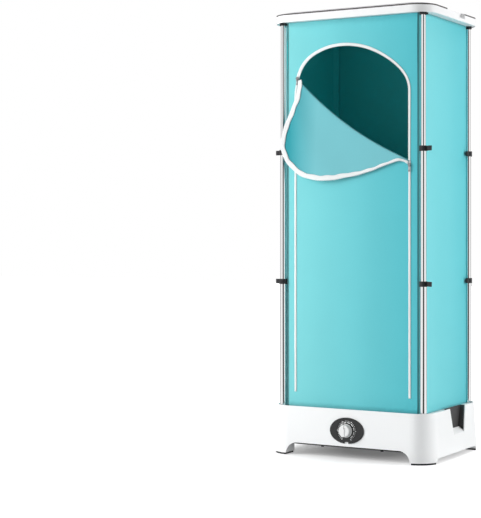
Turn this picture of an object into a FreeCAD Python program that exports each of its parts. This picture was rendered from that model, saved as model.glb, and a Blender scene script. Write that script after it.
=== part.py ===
import FreeCAD, Part
import math
import os

from FreeCAD import Placement, Rotation, Vector

os.makedirs("parts", exist_ok=True)

# A free-standing warm-air drying cabinet.  Millimetres, +Z up, front towards -Y.
# The origin is on the floor, under the middle of the whole footprint, knob included.

# ---- base housing ----
RIM_W = 562.0               # across the top rim, left to right
RIM_D = 444.0               # across the top rim, front to back
RIM_R = 62.0                # corner radius at the rim
FLARE = 9.0                 # lean of each wall, outwards from the rim down to the feet
BASE_H = 161.0              # rim above the floor
WALL = 3.0                  # moulded wall
PAD_T = 6.0                 # rubber foot pad
PAD_INSET = 2.5             # pad edge behind the foot's edge
FOOT_W = 68.0               # foot, seen from the front
FOOT_D = 62.0               # foot, seen from the side
FRONT_ARCH_H = 42.0         # front and rear arch above the floor
FRONT_ARCH_R = 39.0
SIDE_ARCH_H = 17.0
SIDE_ARCH_R = 13.0
FLOOR_T = 4.0               # housing's own floor, round the bottom window
FLOOR_LEDGE = 18.0          # width of that floor, in from the front wall
DECK_DROP = 5.0             # deck surface below the rim
DECK_T = 3.0
DECK_LEDGE = 6.0
POST_WALL = 3.0             # moulded socket round each pole's foot
POST_SEAT_Z = 63.0          # the poles stand on this level

# ---- clearances ----
SEAT_GAP = 0.3              # loose seat between parts that don't press on each other
RUN_GAP = 0.06              # radial play of a pin or shaft in its hole
SLIDE_GAP = 0.5             # radial play between two telescoping tubes
SOFT_GAP = 0.4              # fabric to its neighbours
PARK_GAP = 2.0              # stop distance left when the poles are pushed together

# ---- grips ----
GRIP_TOP_W = 132.0          # trapezoid notch in each side wall
GRIP_BOTTOM_W = 90.0
GRIP_DEPTH_Z = 85.0         # notch height, down from the rim
GRIP_SILL_H = 15.0          # sloped sill at the notch's lower edge
GRIP_SILL_D = 15.0
GRIP_SET_BACK = 24.0        # notch centre behind the housing's middle
GRIP_REACH = 17.0           # cup depth, in from the rim
GRIP_CUP_DROP = 0.5         # cup's top below the rim
CUP_T = 2.0

# ---- poles: three telescoping tubes at each corner ----
POLE_INSET = 29.0           # pole axis in from the rim
LOWER_R = 11.0              # outer radii
MIDDLE_R = 9.5
UPPER_R = 8.0
TUBE_T = 1.0
LOWER_LENGTH = 409.0        # rim to lower clamp
STAGE_LENGTH = 429.0        # lower clamp to upper clamp, and upper clamp to lid
TUBE_LAP = 40.0             # length held inside the tube below
TUBE_PROUD = 2.0            # tube end above its clamp's middle

# ---- clamps ----
CLAMP_R = 13.0
CLAMP_H = 17.0
FORK_END = 23.0             # fork end, pivot and lever tip, out from the pole axis
PIVOT_OUT = 19.0
LEVER_TIP = 36.0
FORK_SIDE = 7.0             # fork centre beside the pole axis
FORK_W = 11.0
LEVER_HEAD_R = 5.2
LEVER_HEAD_H = 10.0
LEVER_ARM_W = 9.0
LEVER_TIP_W = 4.0
PADDLE_FROM = 25.7          # finger paddle, from here to the tip, as tall as the clamp
PADDLE_H = 15.0
PIVOT_R = 2.0
# which way each clamp is turned on its pole, in degrees from +X
CLAMP_TURN = {"fl": 168.0, "fr": -36.0, "rl": -90.0, "rr": -90.0}

# ---- lid ----
LID_OVERHANG = 5.0          # lid skirt outside the base rim
SKIRT_H = 23.4
TRIM_H = 4.2
TRIM_T = 1.2
CROWN_H = 11.4
CROWN_STEPS = ((0.0, 0.0), (18.0, 0.45), (110.0, 1.0))   # inset, share of the rise
BOSS_RISE = 2.0             # pole bosses run this far into the crown
SCOOP_W = 164.0             # hand scoop in each side of the lid
SCOOP_SLANT = 10.0
SCOOP_IN = 14.0
SCOOP_FLOOR = 11.0          # above the skirt's lower edge
LINER_T = 2.5
LINER_UP = 2.5              # liner's underside above the skirt's lower edge
SOCKET_WALL = 3.5
SOCKET_DROP = 6.0           # socket mouth below the skirt
SOCKET_H = 26.0
SOCKET_FLANGE = 3.5
TAB_OUT = 14.0              # release tab on each socket
TAB_W = 6.0
RAIL_R = 6.0
RAIL_T = 1.0
RAIL_DROP = 38.0            # rail axis below the liner
BRACKET_T = 8.0
BRACKET_W = 26.0
BRACKET_WALL = 4.0
RAIL_END_GAP = 12.0         # bracket to the fabric

# ---- fabric cover ----
COVER_INSET = 1.0           # panels inside the pole axes
COVER_T = 1.0
DOOR_MARGIN = 46.0          # door's side edge in from the panel's corner
ARCH_DROP = 85.0            # arch top below the cover's top
ARCH_RISE = 163.0
DOOR_SILL = 49.0            # door's lower end above the cover's foot
TAPE_W = 9.0
FOLD_LEFT_DROP = 109.0      # fold line's two ends below the arch top
FOLD_RIGHT_DROP = 385.0
FOLD_SAG = 26.0             # the fold's middle hangs this far below the line of its ends
# free edge of the folded part: share along the fold's ends' line, and distance below it
FLAP_EDGE = ((0.05, 50.0), (0.107, 140.0), (0.163, 205.0), (0.262, 241.0), (0.36, 247.0),
             (0.475, 237.0), (0.606, 197.0), (0.76, 124.0), (0.86, 63.0), (0.95, 16.0))
FLAP_TAPE = 0.047           # tape width as a share of the folded part
FLAP_T = 1.2
# the folded part stands off the door: distance below the fold, and forward
FLAP_STAND = ((0.0, 0.5), (12.0, 6.5), (60.0, 12.0), (150.0, 20.0), (250.0, 26.0))
SLIDER_W = 8.0
SLIDER_H = 12.0
SLIDER_T = 4.0
SLIDER_BAR_R = 0.9
TAB_LENGTH = 22.0
PULL_W = 6.0
PULL_T = 1.4

# ---- warm-air unit ----
DUCT_R = 84.0
DUCT_T = 2.0
PAN_T = 2.5
PAN_FLANGE = 7.0
PAN_BOTTOM_Z = 34.0
PEG_R = 5.0
PEG_H = 5.0
INTAKE_R = 70.0
INTAKE_PITCH = 12.0
INTAKE_SLOT = 6.0
GRILLE_FLANGE = 4.0
GRILLE_RINGS = 4
GRILLE_BAR = 2.5
GRILLE_SPOKES = 6
GRILLE_T = 3.0
MOTOR_R = 24.0
MOTOR_H = 28.0
BRACKET_PLATE_Z = 46.0
BRACKET_PLATE_T = 3.0
BRACKET_ARMS = 3
BRACKET_ARM_W = 12.0
SHAFT_R = 2.5
HUB_R = 20.0
HUB_H = 22.0
HUB_LIFT = 4.0
BLADES = 5
BLADE_TIP_GAP = 4.0
BLADE_ROOT = (30.0, 42.0)   # chord and pitch in degrees, at the hub
BLADE_TIP = (46.0, 22.0)    # and at the tip
BLADE_T = 2.0
HEATER_PLATE_Z = 118.0
HEATER_PLATE_T = 2.5
HEATER_W = 108.0
HEATER_H = 16.0
HEATER_ROWS = 4
HEATER_CELLS = 10
CUTOUT_R = 8.0
CUTOUT_H = 7.0

# ---- dial ----
DIAL_Z = 93.0
DIAL_W = 121.0
DIAL_H = 84.0
DIAL_T = 3.5
DIAL_CHAMFER = 1.2
DIAL_WELL_R = 35.5
DIAL_WELL = 0.9
DIAL_NOTCH_W = 15.0
DIAL_NOTCH_H = 6.0
KNOB_R = 20.5
KNOB_H = 17.0
KNOB_DRAFT = 1.5
KNOB_SKIRT_R = 23.5
KNOB_SKIRT_H = 4.0
KNOB_RIDGE_W = 6.0
KNOB_RIDGE_H = 2.0
TIMER_W = 46.0
TIMER_DEEP = 30.0
TIMER_BUSH_R = 5.0
TIMER_SHAFT_R = 3.0

# ---- rear cord gland ----
GLAND_X = 180.0
GLAND_Z = 78.0
GLAND_R = 9.0
GLAND_HOLE_R = 6.0
GLAND_BORE_R = 3.5
GLAND_FLANGE = 2.0
GLAND_NUT = 4.0

SCREW_R = 1.5
SCREW_HEAD_R = 3.2
SCREW_HEAD_H = 1.8
SCREW_LENGTH = 5.0

# ---- places worked out from the sizes ----
CORNERS = {"fl": (-1, -1), "fr": (1, -1), "rl": (-1, 1), "rr": (1, 1)}
POLE_X = RIM_W / 2 - POLE_INSET
POLE_Y = RIM_D / 2 - POLE_INSET
DECK_TOP = BASE_H - DECK_DROP
DECK_Z = DECK_TOP - DECK_T
FLOOR_TOP = FRONT_ARCH_H + FLOOR_T
LOWER_CLAMP_Z = BASE_H + LOWER_LENGTH
UPPER_CLAMP_Z = LOWER_CLAMP_Z + STAGE_LENGTH
LID_Z = UPPER_CLAMP_Z + STAGE_LENGTH
TRIM_Z = LID_Z + SKIRT_H
CROWN_Z = TRIM_Z + TRIM_H
LINER_Z = LID_Z + LINER_UP
LINER_TOP = LINER_Z + LINER_T
COVER_X = POLE_X - COVER_INSET
COVER_Y = POLE_Y - COVER_INSET
COVER_Z = DECK_TOP + SOFT_GAP
COVER_TOP = LINER_Z - SOFT_GAP
# the cover's corners are drawn in behind the poles, just clear of the clamps
COVER_CHAMFER = math.sqrt(2.0) * (CLAMP_R + SOFT_GAP) - 2.0 * COVER_INSET
DOOR_HALF = COVER_X - DOOR_MARGIN
DOOR_Z = COVER_Z + DOOR_SILL
ARCH_TOP = COVER_TOP - ARCH_DROP
SPRING_Z = ARCH_TOP - ARCH_RISE
FOLD_LEFT_Z = ARCH_TOP - FOLD_LEFT_DROP
FOLD_RIGHT_Z = ARCH_TOP - FOLD_RIGHT_DROP
FOLD_LEFT_X = -DOOR_HALF * math.sqrt(1.0 - ((FOLD_LEFT_Z - SPRING_Z) / ARCH_RISE) ** 2)
RAIL_Z = LINER_Z - RAIL_DROP
WALL_LEAN = FLARE / (BASE_H - PAD_T)
DIAL_TILT = math.degrees(math.atan(WALL_LEAN))
DIAL_Y = -(RIM_D / 2 + WALL_LEAN * (BASE_H - DIAL_Z))
KNOB_REACH = DIAL_T + KNOB_SKIRT_H + KNOB_H + KNOB_RIDGE_H + SEAT_GAP
FRONT_REACH = -DIAL_Y + KNOB_REACH * math.cos(math.radians(DIAL_TILT))
REAR_REACH = RIM_D / 2 + FLARE
CENTRE_SHIFT = (FRONT_REACH - REAR_REACH) / 2

UP = Vector(0, 0, 1)
ORIGIN = Vector(0, 0, 0)
FAR = 2.0 * RIM_W           # cutters reach past the whole part


def save(name, shape):
    """Move the finished piece to the part's origin and write it."""
    placed = shape.copy()
    placed.translate(Vector(0, CENTRE_SHIFT, 0))
    solids = placed.Solids
    if not placed.isValid() or not solids:
        raise ValueError("bad shape: " + name)
    whole = solids[0] if len(solids) == 1 else Part.makeCompound(solids)
    whole.exportStep("parts/" + name + ".step")
    print("%-20s %2d solids %10.0f mm3" % (name, len(solids), whole.Volume))


def box(x0, x1, y0, y1, z0, z1):
    return Part.makeBox(x1 - x0, y1 - y0, z1 - z0, Vector(x0, y0, z0))


def rod(radius, z0, z1, x=0.0, y=0.0):
    return Part.makeCylinder(radius, z1 - z0, Vector(x, y, z0))


def pipe(outer, inner, z0, z1, x=0.0, y=0.0):
    return rod(outer, z0, z1, x, y).cut(rod(inner, z0, z1, x, y))


def polygon(points, height=0.0):
    """Face through 2-D points, in the plane at this height."""
    loop = [Vector(x, y, height) for x, y in points]
    return Part.Face(Part.makePolygon(loop + loop[:1]))


def rounded_outline(half_x, half_y, radius, z):
    """Rectangle with round corners, as four lines and four arcs."""
    edges = []
    ends = []
    turns = ((1, 1, 0), (-1, 1, 90), (-1, -1, 180), (1, -1, 270))
    for side_x, side_y, start in turns:
        centre = Vector(side_x * (half_x - radius), side_y * (half_y - radius), z)
        arc = Part.ArcOfCircle(Part.Circle(centre, UP, radius),
                               math.radians(start), math.radians(start + 90))
        ends.append((arc.StartPoint, arc.EndPoint, arc.toShape()))
    for index, (start, end, arc) in enumerate(ends):
        following = ends[(index + 1) % 4][0]
        edges.append(arc)
        edges.append(Part.LineSegment(end, following).toShape())
    return Part.Wire(edges)


def rim_prism(grow, z0, z1):
    """Upright block on the rim's outline, grown by a distance."""
    outline = rounded_outline(RIM_W / 2 + grow, RIM_D / 2 + grow, RIM_R + grow, z0)
    return Part.Face(outline).extrude(Vector(0, 0, z1 - z0))


def leaning_block(inset, z0, z1):
    """Block with the housing's leaning walls, drawn in by an inset."""
    outlines = []
    for z in (z0, z1):
        grow = WALL_LEAN * (BASE_H - z) - inset
        outlines.append(rounded_outline(RIM_W / 2 + grow, RIM_D / 2 + grow, RIM_R + grow, z))
    return Part.makeLoft(outlines, True, True)


def at_poles(shape):
    """One copy of a shape at each pole axis."""
    copies = []
    for side_x, side_y in CORNERS.values():
        copy = shape.copy()
        copy.translate(Vector(side_x * POLE_X, side_y * POLE_Y, 0))
        copies.append(copy)
    return copies


def turned_to(corner, shape, z):
    """Set a clamp piece at its pole, turned as that clamp is; left ones are mirrored."""
    side_x, side_y = CORNERS[corner]
    placed = shape.mirror(ORIGIN, Vector(0, 1, 0)) if side_x < 0 else shape.copy()
    placed.rotate(ORIGIN, UP, CLAMP_TURN[corner])
    placed.translate(Vector(side_x * POLE_X, side_y * POLE_Y, z))
    return placed


# ---------------------------------------------------------------- base housing

FOOT_X = RIM_W / 2 + FLARE - FOOT_W          # arch ends
FOOT_Y = RIM_D / 2 + FLARE - FOOT_D


def foot_blocks(inset, z0, z1):
    """Four upright corner blocks, where the feet are."""
    blocks = []
    for side_x, side_y in CORNERS.values():
        block = box(FOOT_X + inset, FAR, FOOT_Y + inset, FAR, z0, z1)
        if side_x < 0:
            block = block.mirror(ORIGIN, Vector(1, 0, 0))
        if side_y < 0:
            block = block.mirror(ORIGIN, Vector(0, 1, 0))
        blocks.append(block)
    return Part.makeCompound(blocks)


def arch_cutter(half, height, radius):
    """Arch profile with quarter-round ends, as a bar along the drawing plane's normal."""
    rise = height - radius
    left = Part.ArcOfCircle(Part.Circle(Vector(radius - half, rise, 0), UP, radius),
                            math.pi / 2, math.pi)
    right = Part.ArcOfCircle(Part.Circle(Vector(half - radius, rise, 0), UP, radius),
                             0, math.pi / 2)
    corners = [Vector(-half, rise, 0), Vector(-half, -1, 0), Vector(half, -1, 0),
               Vector(half, rise, 0)]
    edges = [Part.LineSegment(a, b).toShape() for a, b in zip(corners, corners[1:])]
    edges.append(right.toShape())
    edges.append(Part.LineSegment(Vector(half - radius, height, 0),
                                  Vector(radius - half, height, 0)).toShape())
    edges.append(left.toShape())
    bar = Part.Face(Part.Wire(edges)).extrude(Vector(0, 0, FAR))
    bar.translate(Vector(0, 0, -FAR / 2))
    bar.rotate(ORIGIN, Vector(1, 0, 0), 90)
    return bar


def grip_profile(grow, z_low, z_high):
    """Trapezoid of the grip notch between two levels, grown sideways."""
    half_top = GRIP_TOP_W / 2
    half_low = GRIP_BOTTOM_W / 2

    def half_at(z):
        share = (BASE_H - z) / GRIP_DEPTH_Z
        return half_top + (half_low - half_top) * share + grow
    return ((GRIP_SET_BACK - half_at(z_low), z_low), (GRIP_SET_BACK + half_at(z_low), z_low),
            (GRIP_SET_BACK + half_at(z_high), z_high), (GRIP_SET_BACK - half_at(z_high), z_high))


def side_prism(profile, x0, x1):
    """Prism along X of a profile drawn in Y and Z."""
    loop = [Vector(x0, y, z) for y, z in profile]
    return Part.Face(Part.makePolygon(loop + loop[:1])).extrude(Vector(x1 - x0, 0, 0))


CUP_BACK = RIM_W / 2 - GRIP_REACH
CUP_FLOOR = BASE_H - GRIP_DEPTH_Z + GRIP_SILL_H
SILL_X = RIM_W / 2 - GRIP_SILL_D


def both_sides(shape):
    return Part.makeCompound([shape, shape.mirror(ORIGIN, Vector(1, 0, 0))])


def grip_cup_block(grow):
    """Outer block of the right-hand grip cup."""
    profile = grip_profile(CUP_T + grow, CUP_FLOOR - CUP_T - grow, BASE_H + 1)
    return side_prism(profile, CUP_BACK - CUP_T - grow, FAR / 2)


def base_housing():
    body = leaning_block(0, PAD_T, BASE_H)
    body = body.cut(leaning_block(WALL, FLOOR_TOP, BASE_H + 1))
    hollow = leaning_block(WALL, PAD_T - 1, FRONT_ARCH_H).cut(foot_blocks(0, 0, FRONT_ARCH_H))
    body = body.cut(hollow)
    body = body.cut(arch_cutter(FOOT_X, FRONT_ARCH_H, FRONT_ARCH_R))
    side_arch = arch_cutter(FOOT_Y, SIDE_ARCH_H, SIDE_ARCH_R)
    side_arch.rotate(ORIGIN, UP, 90)
    body = body.cut(side_arch)
    pockets = leaning_block(WALL, PAD_T + WALL, FLOOR_TOP)
    pockets = pockets.common(foot_blocks(WALL, 0, FLOOR_TOP + 1))
    body = body.cut(pockets)
    window = rounded_outline(FOOT_X - WALL - PAN_FLANGE + 2, RIM_D / 2 - FLOOR_LEDGE, 20, 0)
    body = body.cut(Part.Face(window).extrude(Vector(0, 0, FLOOR_TOP + 1)))
    ledge = leaning_block(WALL, DECK_Z - WALL, DECK_Z)
    ledge = ledge.cut(leaning_block(WALL + DECK_LEDGE, DECK_Z - WALL - 1, DECK_Z + 1))
    ledge = ledge.cut(both_sides(grip_cup_block(SEAT_GAP)))
    outer = leaning_block(0, PAD_T, BASE_H)
    posts = [post.common(outer) for post in at_poles(
        rod(LOWER_R + POST_WALL, PAD_T + WALL, DECK_TOP))]
    body = body.fuse([ledge] + posts)
    body = body.cut(both_sides(side_prism(grip_profile(0, BASE_H - GRIP_DEPTH_Z, BASE_H + 1),
                                          CUP_BACK, FAR / 2)))
    low, high = BASE_H - GRIP_DEPTH_Z, CUP_FLOOR
    lean_x = RIM_W / 2 + WALL_LEAN * (BASE_H - low)
    sill = Part.makePolygon([Vector(SILL_X, 0, low - WALL), Vector(lean_x, 0, low - WALL),
                             Vector(lean_x, 0, low), Vector(SILL_X, 0, high),
                             Vector(SILL_X, 0, low - WALL)])
    sill = Part.Face(sill).extrude(Vector(0, GRIP_BOTTOM_W + 2 * GRIP_SILL_H, 0))
    sill.translate(Vector(0, GRIP_SET_BACK - GRIP_BOTTOM_W / 2 - GRIP_SILL_H, 0))
    notch = side_prism(grip_profile(WALL, low - WALL, BASE_H), SILL_X - 1, FAR / 2)
    body = body.fuse(both_sides(sill.common(notch).common(outer)).Solids)
    bores = at_poles(rod(LOWER_R, POST_SEAT_Z, BASE_H + 1))
    bolt = Part.makeCylinder(TIMER_BUSH_R + SEAT_GAP, 40, Vector(0, DIAL_Y - 20, DIAL_Z),
                             Vector(0, 1, 0))
    cord_hole = Part.makeCylinder(GLAND_HOLE_R + SEAT_GAP, 40,
                                  Vector(GLAND_X, RIM_D / 2 - 20, GLAND_Z), Vector(0, 1, 0))
    body = body.cut(Part.makeCompound(bores + [bolt, cord_hole] + pan_screw_holes()))
    return body.removeSplitter()


def grip_cup():
    """Black pocket behind the right-hand notch, open at the top and outside."""
    cup = grip_cup_block(0).common(box(0, FAR, -FAR, FAR, 0, BASE_H - GRIP_CUP_DROP))
    cup = cup.common(leaning_block(WALL, FLOOR_TOP, BASE_H))
    pocket = side_prism(grip_profile(0, CUP_FLOOR, BASE_H + 2), CUP_BACK, FAR / 2)
    sill_room = box(SILL_X, FAR, -FAR, FAR, 0, CUP_FLOOR)
    return cup.cut(pocket).cut(sill_room)


def foot_pads():
    outline = leaning_block(PAD_INSET, 0, PAD_T)
    pads = outline.common(foot_blocks(PAD_INSET, 0, PAD_T))
    return pads


def top_deck():
    deck = leaning_block(WALL + SEAT_GAP, DECK_Z, DECK_TOP)
    holes = at_poles(rod(LOWER_R + POST_WALL + SEAT_GAP, DECK_Z - 1, DECK_TOP + 1))
    holes.append(rod(DUCT_R - GRILLE_FLANGE, DECK_Z - 1, DECK_TOP + 1))
    deck = deck.cut(Part.makeCompound(holes))
    return deck.cut(both_sides(grip_cup_block(SEAT_GAP)))


def outlet_grille():
    """Round grille: a flange on the deck, a spigot in its hole, rings and spokes."""
    hole_r = DUCT_R - GRILLE_FLANGE
    top = DECK_TOP + GRILLE_T
    rim = pipe(DUCT_R, hole_r - GRILLE_T, DECK_TOP, top)
    spigot = pipe(hole_r - SEAT_GAP, hole_r - GRILLE_T, DECK_Z, DECK_TOP)
    pieces = [spigot]
    step = (hole_r - GRILLE_T) / (GRILLE_RINGS + 1)
    for ring in range(1, GRILLE_RINGS + 1):
        radius = ring * step
        pieces.append(pipe(radius + GRILLE_BAR / 2, radius - GRILLE_BAR / 2, DECK_TOP, top))
    for spoke in range(GRILLE_SPOKES):
        bar = box(step, hole_r - GRILLE_T / 2, -GRILLE_BAR / 2, GRILLE_BAR / 2, DECK_TOP, top)
        bar.rotate(ORIGIN, UP, spoke * 360.0 / GRILLE_SPOKES)
        pieces.append(bar)
    return rim.fuse(pieces).removeSplitter()


# ---------------------------------------------------------------- bottom pan and air unit

PAN_HALF_X = FOOT_X - WALL
PAN_HALF_Y = RIM_D / 2 - FLOOR_LEDGE + PAN_FLANGE
PAN_SCREW_X = (-0.8, 0.0, 0.8)               # shares of the pan's half width


def pan_screw_places():
    half = PAN_HALF_Y - PAN_FLANGE / 2 + 1
    return [(share * PAN_HALF_X, side * half) for share in PAN_SCREW_X for side in (-1, 1)]


def pan_screw_holes():
    return [rod(SCREW_R, FRONT_ARCH_H - 1, FLOOR_TOP + 1, x, y) for x, y in pan_screw_places()]


def bottom_pan():
    """Tray let into the housing's floor window, with the air intake slots."""
    flange = rounded_outline(PAN_HALF_X, PAN_HALF_Y, 24, FLOOR_TOP)
    pan = Part.Face(flange).extrude(Vector(0, 0, PAN_T))
    half_x = FOOT_X - WALL - PAN_FLANGE + 2 - SEAT_GAP
    half_y = RIM_D / 2 - FLOOR_LEDGE - SEAT_GAP
    dish = rounded_outline(half_x, half_y, 20, PAN_BOTTOM_Z)
    pan = pan.fuse(Part.Face(dish).extrude(Vector(0, 0, FLOOR_TOP - PAN_BOTTOM_Z)))
    inside = rounded_outline(half_x - PAN_T, half_y - PAN_T, 20 - PAN_T, PAN_BOTTOM_Z + PAN_T)
    pan = pan.cut(Part.Face(inside).extrude(Vector(0, 0, FLOOR_TOP + PAN_T)))
    cutters = []
    rows = int(INTAKE_R / INTAKE_PITCH)
    for row in range(-rows, rows + 1):
        y = row * INTAKE_PITCH
        half = math.sqrt(INTAKE_R ** 2 - y ** 2)
        cutters.append(box(-half, half, y - INTAKE_SLOT / 2, y + INTAKE_SLOT / 2,
                           PAN_BOTTOM_Z - 1, PAN_BOTTOM_Z + PAN_T + 1))
    for x, y in pan_screw_places():
        cutters.append(rod(SCREW_R, FLOOR_TOP - 1, FLOOR_TOP + PAN_T + 1, x, y))
    pan = pan.cut(Part.makeCompound(cutters))
    spine = box(-GRILLE_BAR, GRILLE_BAR, -INTAKE_R, INTAKE_R, PAN_BOTTOM_Z, PAN_BOTTOM_Z + PAN_T)
    pegs = [rod(PEG_R, PAN_BOTTOM_Z - PEG_H, PAN_BOTTOM_Z, side * half_x / 2, PEG_R * 3 - half_y)
            for side in (-1, 1)]
    return pan.fuse([spine] + pegs).removeSplitter()


def screw(x, y, z, up=1):
    """Hexagon-head screw with its head's seat at this level, its shank pointing up or down."""
    ring = [(x + SCREW_HEAD_R * math.cos(math.radians(60 * k)),
             y + SCREW_HEAD_R * math.sin(math.radians(60 * k))) for k in range(6)]
    head = polygon(ring, z).extrude(Vector(0, 0, -up * SCREW_HEAD_H))
    shank = Part.makeCylinder(SCREW_R, SCREW_LENGTH, Vector(x, y, z), Vector(0, 0, up))
    return head.fuse(shank)


def pan_screws():
    return Part.makeCompound([screw(x, y, FRONT_ARCH_H) for x, y in pan_screw_places()])


def fan_duct():
    """Air duct from the pan to the deck."""
    return pipe(DUCT_R, DUCT_R - DUCT_T, PAN_BOTTOM_Z + PAN_T, DECK_Z)


def motor_bracket():
    top = BRACKET_PLATE_Z + BRACKET_PLATE_T
    plate = rod(MOTOR_R, BRACKET_PLATE_Z, top)
    arms = []
    for arm in range(BRACKET_ARMS):
        bar = box(0, DUCT_R - DUCT_T, -BRACKET_ARM_W / 2, BRACKET_ARM_W / 2,
                  BRACKET_PLATE_Z, top)
        bar = bar.common(rod(DUCT_R - DUCT_T, BRACKET_PLATE_Z, top))
        bar.rotate(ORIGIN, UP, 30 + arm * 360.0 / BRACKET_ARMS)
        arms.append(bar)
    return plate.fuse(arms).removeSplitter()


MOTOR_Z = BRACKET_PLATE_Z + BRACKET_PLATE_T
MOTOR_TOP = MOTOR_Z + MOTOR_H
HUB_Z = MOTOR_TOP + HUB_LIFT


def fan_motor():
    can = rod(MOTOR_R - 1, MOTOR_Z, MOTOR_TOP)
    can = can.makeChamfer(3.0, [edge for edge in can.Edges if edge.BoundBox.ZMin > MOTOR_TOP - 1])
    boss = rod(3 * SHAFT_R, MOTOR_TOP, MOTOR_TOP + HUB_LIFT / 2)
    return can.fuse(boss).cut(rod(SHAFT_R + RUN_GAP, MOTOR_Z + MOTOR_H / 2, MOTOR_TOP + HUB_LIFT))


def blade_section(radius, chord, pitch):
    """Thin four-cornered section of a blade, in the plane at this radius."""
    along = Vector(0, math.cos(math.radians(pitch)), math.sin(math.radians(pitch))) * (chord / 2)
    across = Vector(0, -math.sin(math.radians(pitch)), math.cos(math.radians(pitch))) * (BLADE_T / 2)
    middle = Vector(radius, 0, HUB_Z + HUB_H / 2)
    corners = [middle + along + across, middle - along + across,
               middle - along - across, middle + along - across]
    return Part.makePolygon(corners + corners[:1])


def fan_impeller():
    """Axial impeller: a cup hub on its shaft, with twisted blades."""
    hub = rod(HUB_R, HUB_Z, HUB_Z + HUB_H)
    hub = hub.makeChamfer(4.0, [edge for edge in hub.Edges
                                if edge.BoundBox.ZMin > HUB_Z + HUB_H - 1])
    hub = hub.cut(pipe(HUB_R - BLADE_T, 3 * SHAFT_R, HUB_Z - 1, HUB_Z + HUB_H - 2 * BLADE_T))
    shaft = rod(SHAFT_R, MOTOR_Z + MOTOR_H / 2 + 1, HUB_Z + HUB_H / 2)
    tip_r = DUCT_R - DUCT_T - BLADE_TIP_GAP
    blades = []
    for index in range(BLADES):
        blade = Part.makeLoft([blade_section(HUB_R - BLADE_T / 2, *BLADE_ROOT),
                               blade_section(tip_r, *BLADE_TIP)], True, True)
        blade.rotate(ORIGIN, UP, index * 360.0 / BLADES)
        blades.append(blade)
    return hub.fuse([shaft] + blades).removeSplitter()


HEATER_Z = HEATER_PLATE_Z + HEATER_PLATE_T


def heater_frame():
    half = HEATER_W / 2 - 2
    top = HEATER_PLATE_Z + HEATER_PLATE_T
    plate = rod(DUCT_R - DUCT_T, HEATER_PLATE_Z, top)
    return plate.cut(box(-half, half, -half, half, HEATER_PLATE_Z - 1, top + 1))


def heater_core():
    """Finned heating block: rows of open cells between the heating bars."""
    half = HEATER_W / 2
    block = box(-half, half, -half, half, HEATER_Z, HEATER_Z + HEATER_H)
    pitch_y = HEATER_W / HEATER_ROWS
    pitch_x = HEATER_W / HEATER_CELLS
    cells = []
    for row in range(HEATER_ROWS):
        for cell in range(HEATER_CELLS):
            x = (cell + 0.5) * pitch_x - half
            y = (row + 0.5) * pitch_y - half
            cells.append(box(x - 0.4 * pitch_x, x + 0.4 * pitch_x,
                             y - 0.36 * pitch_y, y + 0.36 * pitch_y,
                             HEATER_Z - 1, HEATER_Z + HEATER_H + 1))
    return block.cut(Part.makeCompound(cells))


def thermal_cutout():
    place = (HEATER_W / 2 + DUCT_R - DUCT_T) / 2
    disc = rod(CUTOUT_R, HEATER_Z, HEATER_Z + CUTOUT_H / 2, place)
    return disc.fuse(rod(CUTOUT_R * 0.7, HEATER_Z, HEATER_Z + CUTOUT_H, place))


# ---------------------------------------------------------------- dial, knob and timer

def on_wall(shape):
    """Place a piece drawn with +Z out of the front wall, at the dial's centre."""
    placed = shape.copy()
    placed.Placement = Placement(Vector(0, DIAL_Y, DIAL_Z),
                                 Rotation(Vector(1, 0, 0), 90 - DIAL_TILT)) * placed.Placement
    return placed


def dial_plate():
    oval = Part.Ellipse(ORIGIN, DIAL_W / 2, DIAL_H / 2).toShape()
    plate = Part.Face(Part.Wire([oval])).extrude(Vector(0, 0, DIAL_T))
    rim = [edge for edge in plate.Edges if edge.BoundBox.ZMin > DIAL_T - 0.1]
    plate = plate.makeChamfer(DIAL_CHAMFER, rim)
    plate = plate.cut(rod(DIAL_WELL_R, DIAL_T - DIAL_WELL, DIAL_T + 1))
    plate = plate.cut(rod(TIMER_BUSH_R + SEAT_GAP, -1, DIAL_T + 1))
    notch = box(-DIAL_NOTCH_W / 2, DIAL_NOTCH_W / 2, -DIAL_H, DIAL_NOTCH_H - DIAL_H / 2,
                -1, DIAL_T + 1)
    return on_wall(plate.cut(notch))


def knob_floor():
    return DIAL_T - DIAL_WELL + SEAT_GAP


def control_knob():
    """Round knob on a low skirt, with a raised pointer ridge that points down at rest."""
    floor = knob_floor()
    skirt = Part.makeCone(KNOB_SKIRT_R, KNOB_R + 1, KNOB_SKIRT_H, Vector(0, 0, floor))
    top = floor + KNOB_SKIRT_H + KNOB_H
    cap = Part.makeCone(KNOB_R, KNOB_R - KNOB_DRAFT, KNOB_H, Vector(0, 0, floor + KNOB_SKIRT_H))
    cap = cap.makeChamfer(1.5, [edge for edge in cap.Edges if edge.BoundBox.ZMin > top - 0.1])
    ridge = box(-KNOB_RIDGE_W / 2, KNOB_RIDGE_W / 2, 1 - KNOB_R + KNOB_DRAFT, KNOB_R / 2,
                top - 1, top + KNOB_RIDGE_H)
    ridge = ridge.makeChamfer(1.0, [edge for edge in ridge.Edges
                                    if edge.BoundBox.ZMin > top + KNOB_RIDGE_H - 0.1])
    knob = skirt.fuse([cap, ridge])
    knob = knob.cut(rod(TIMER_SHAFT_R, floor - 1, floor + KNOB_SKIRT_H + KNOB_H / 2))
    knob = knob.cut(rod(TIMER_BUSH_R + 1, floor - 1, floor + KNOB_SKIRT_H / 2))
    return on_wall(knob.removeSplitter())


def timer_shaft():
    top = knob_floor() + KNOB_SKIRT_H + KNOB_H / 2
    return on_wall(rod(TIMER_SHAFT_R, -WALL - TIMER_DEEP / 2 + 1, top))


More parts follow.
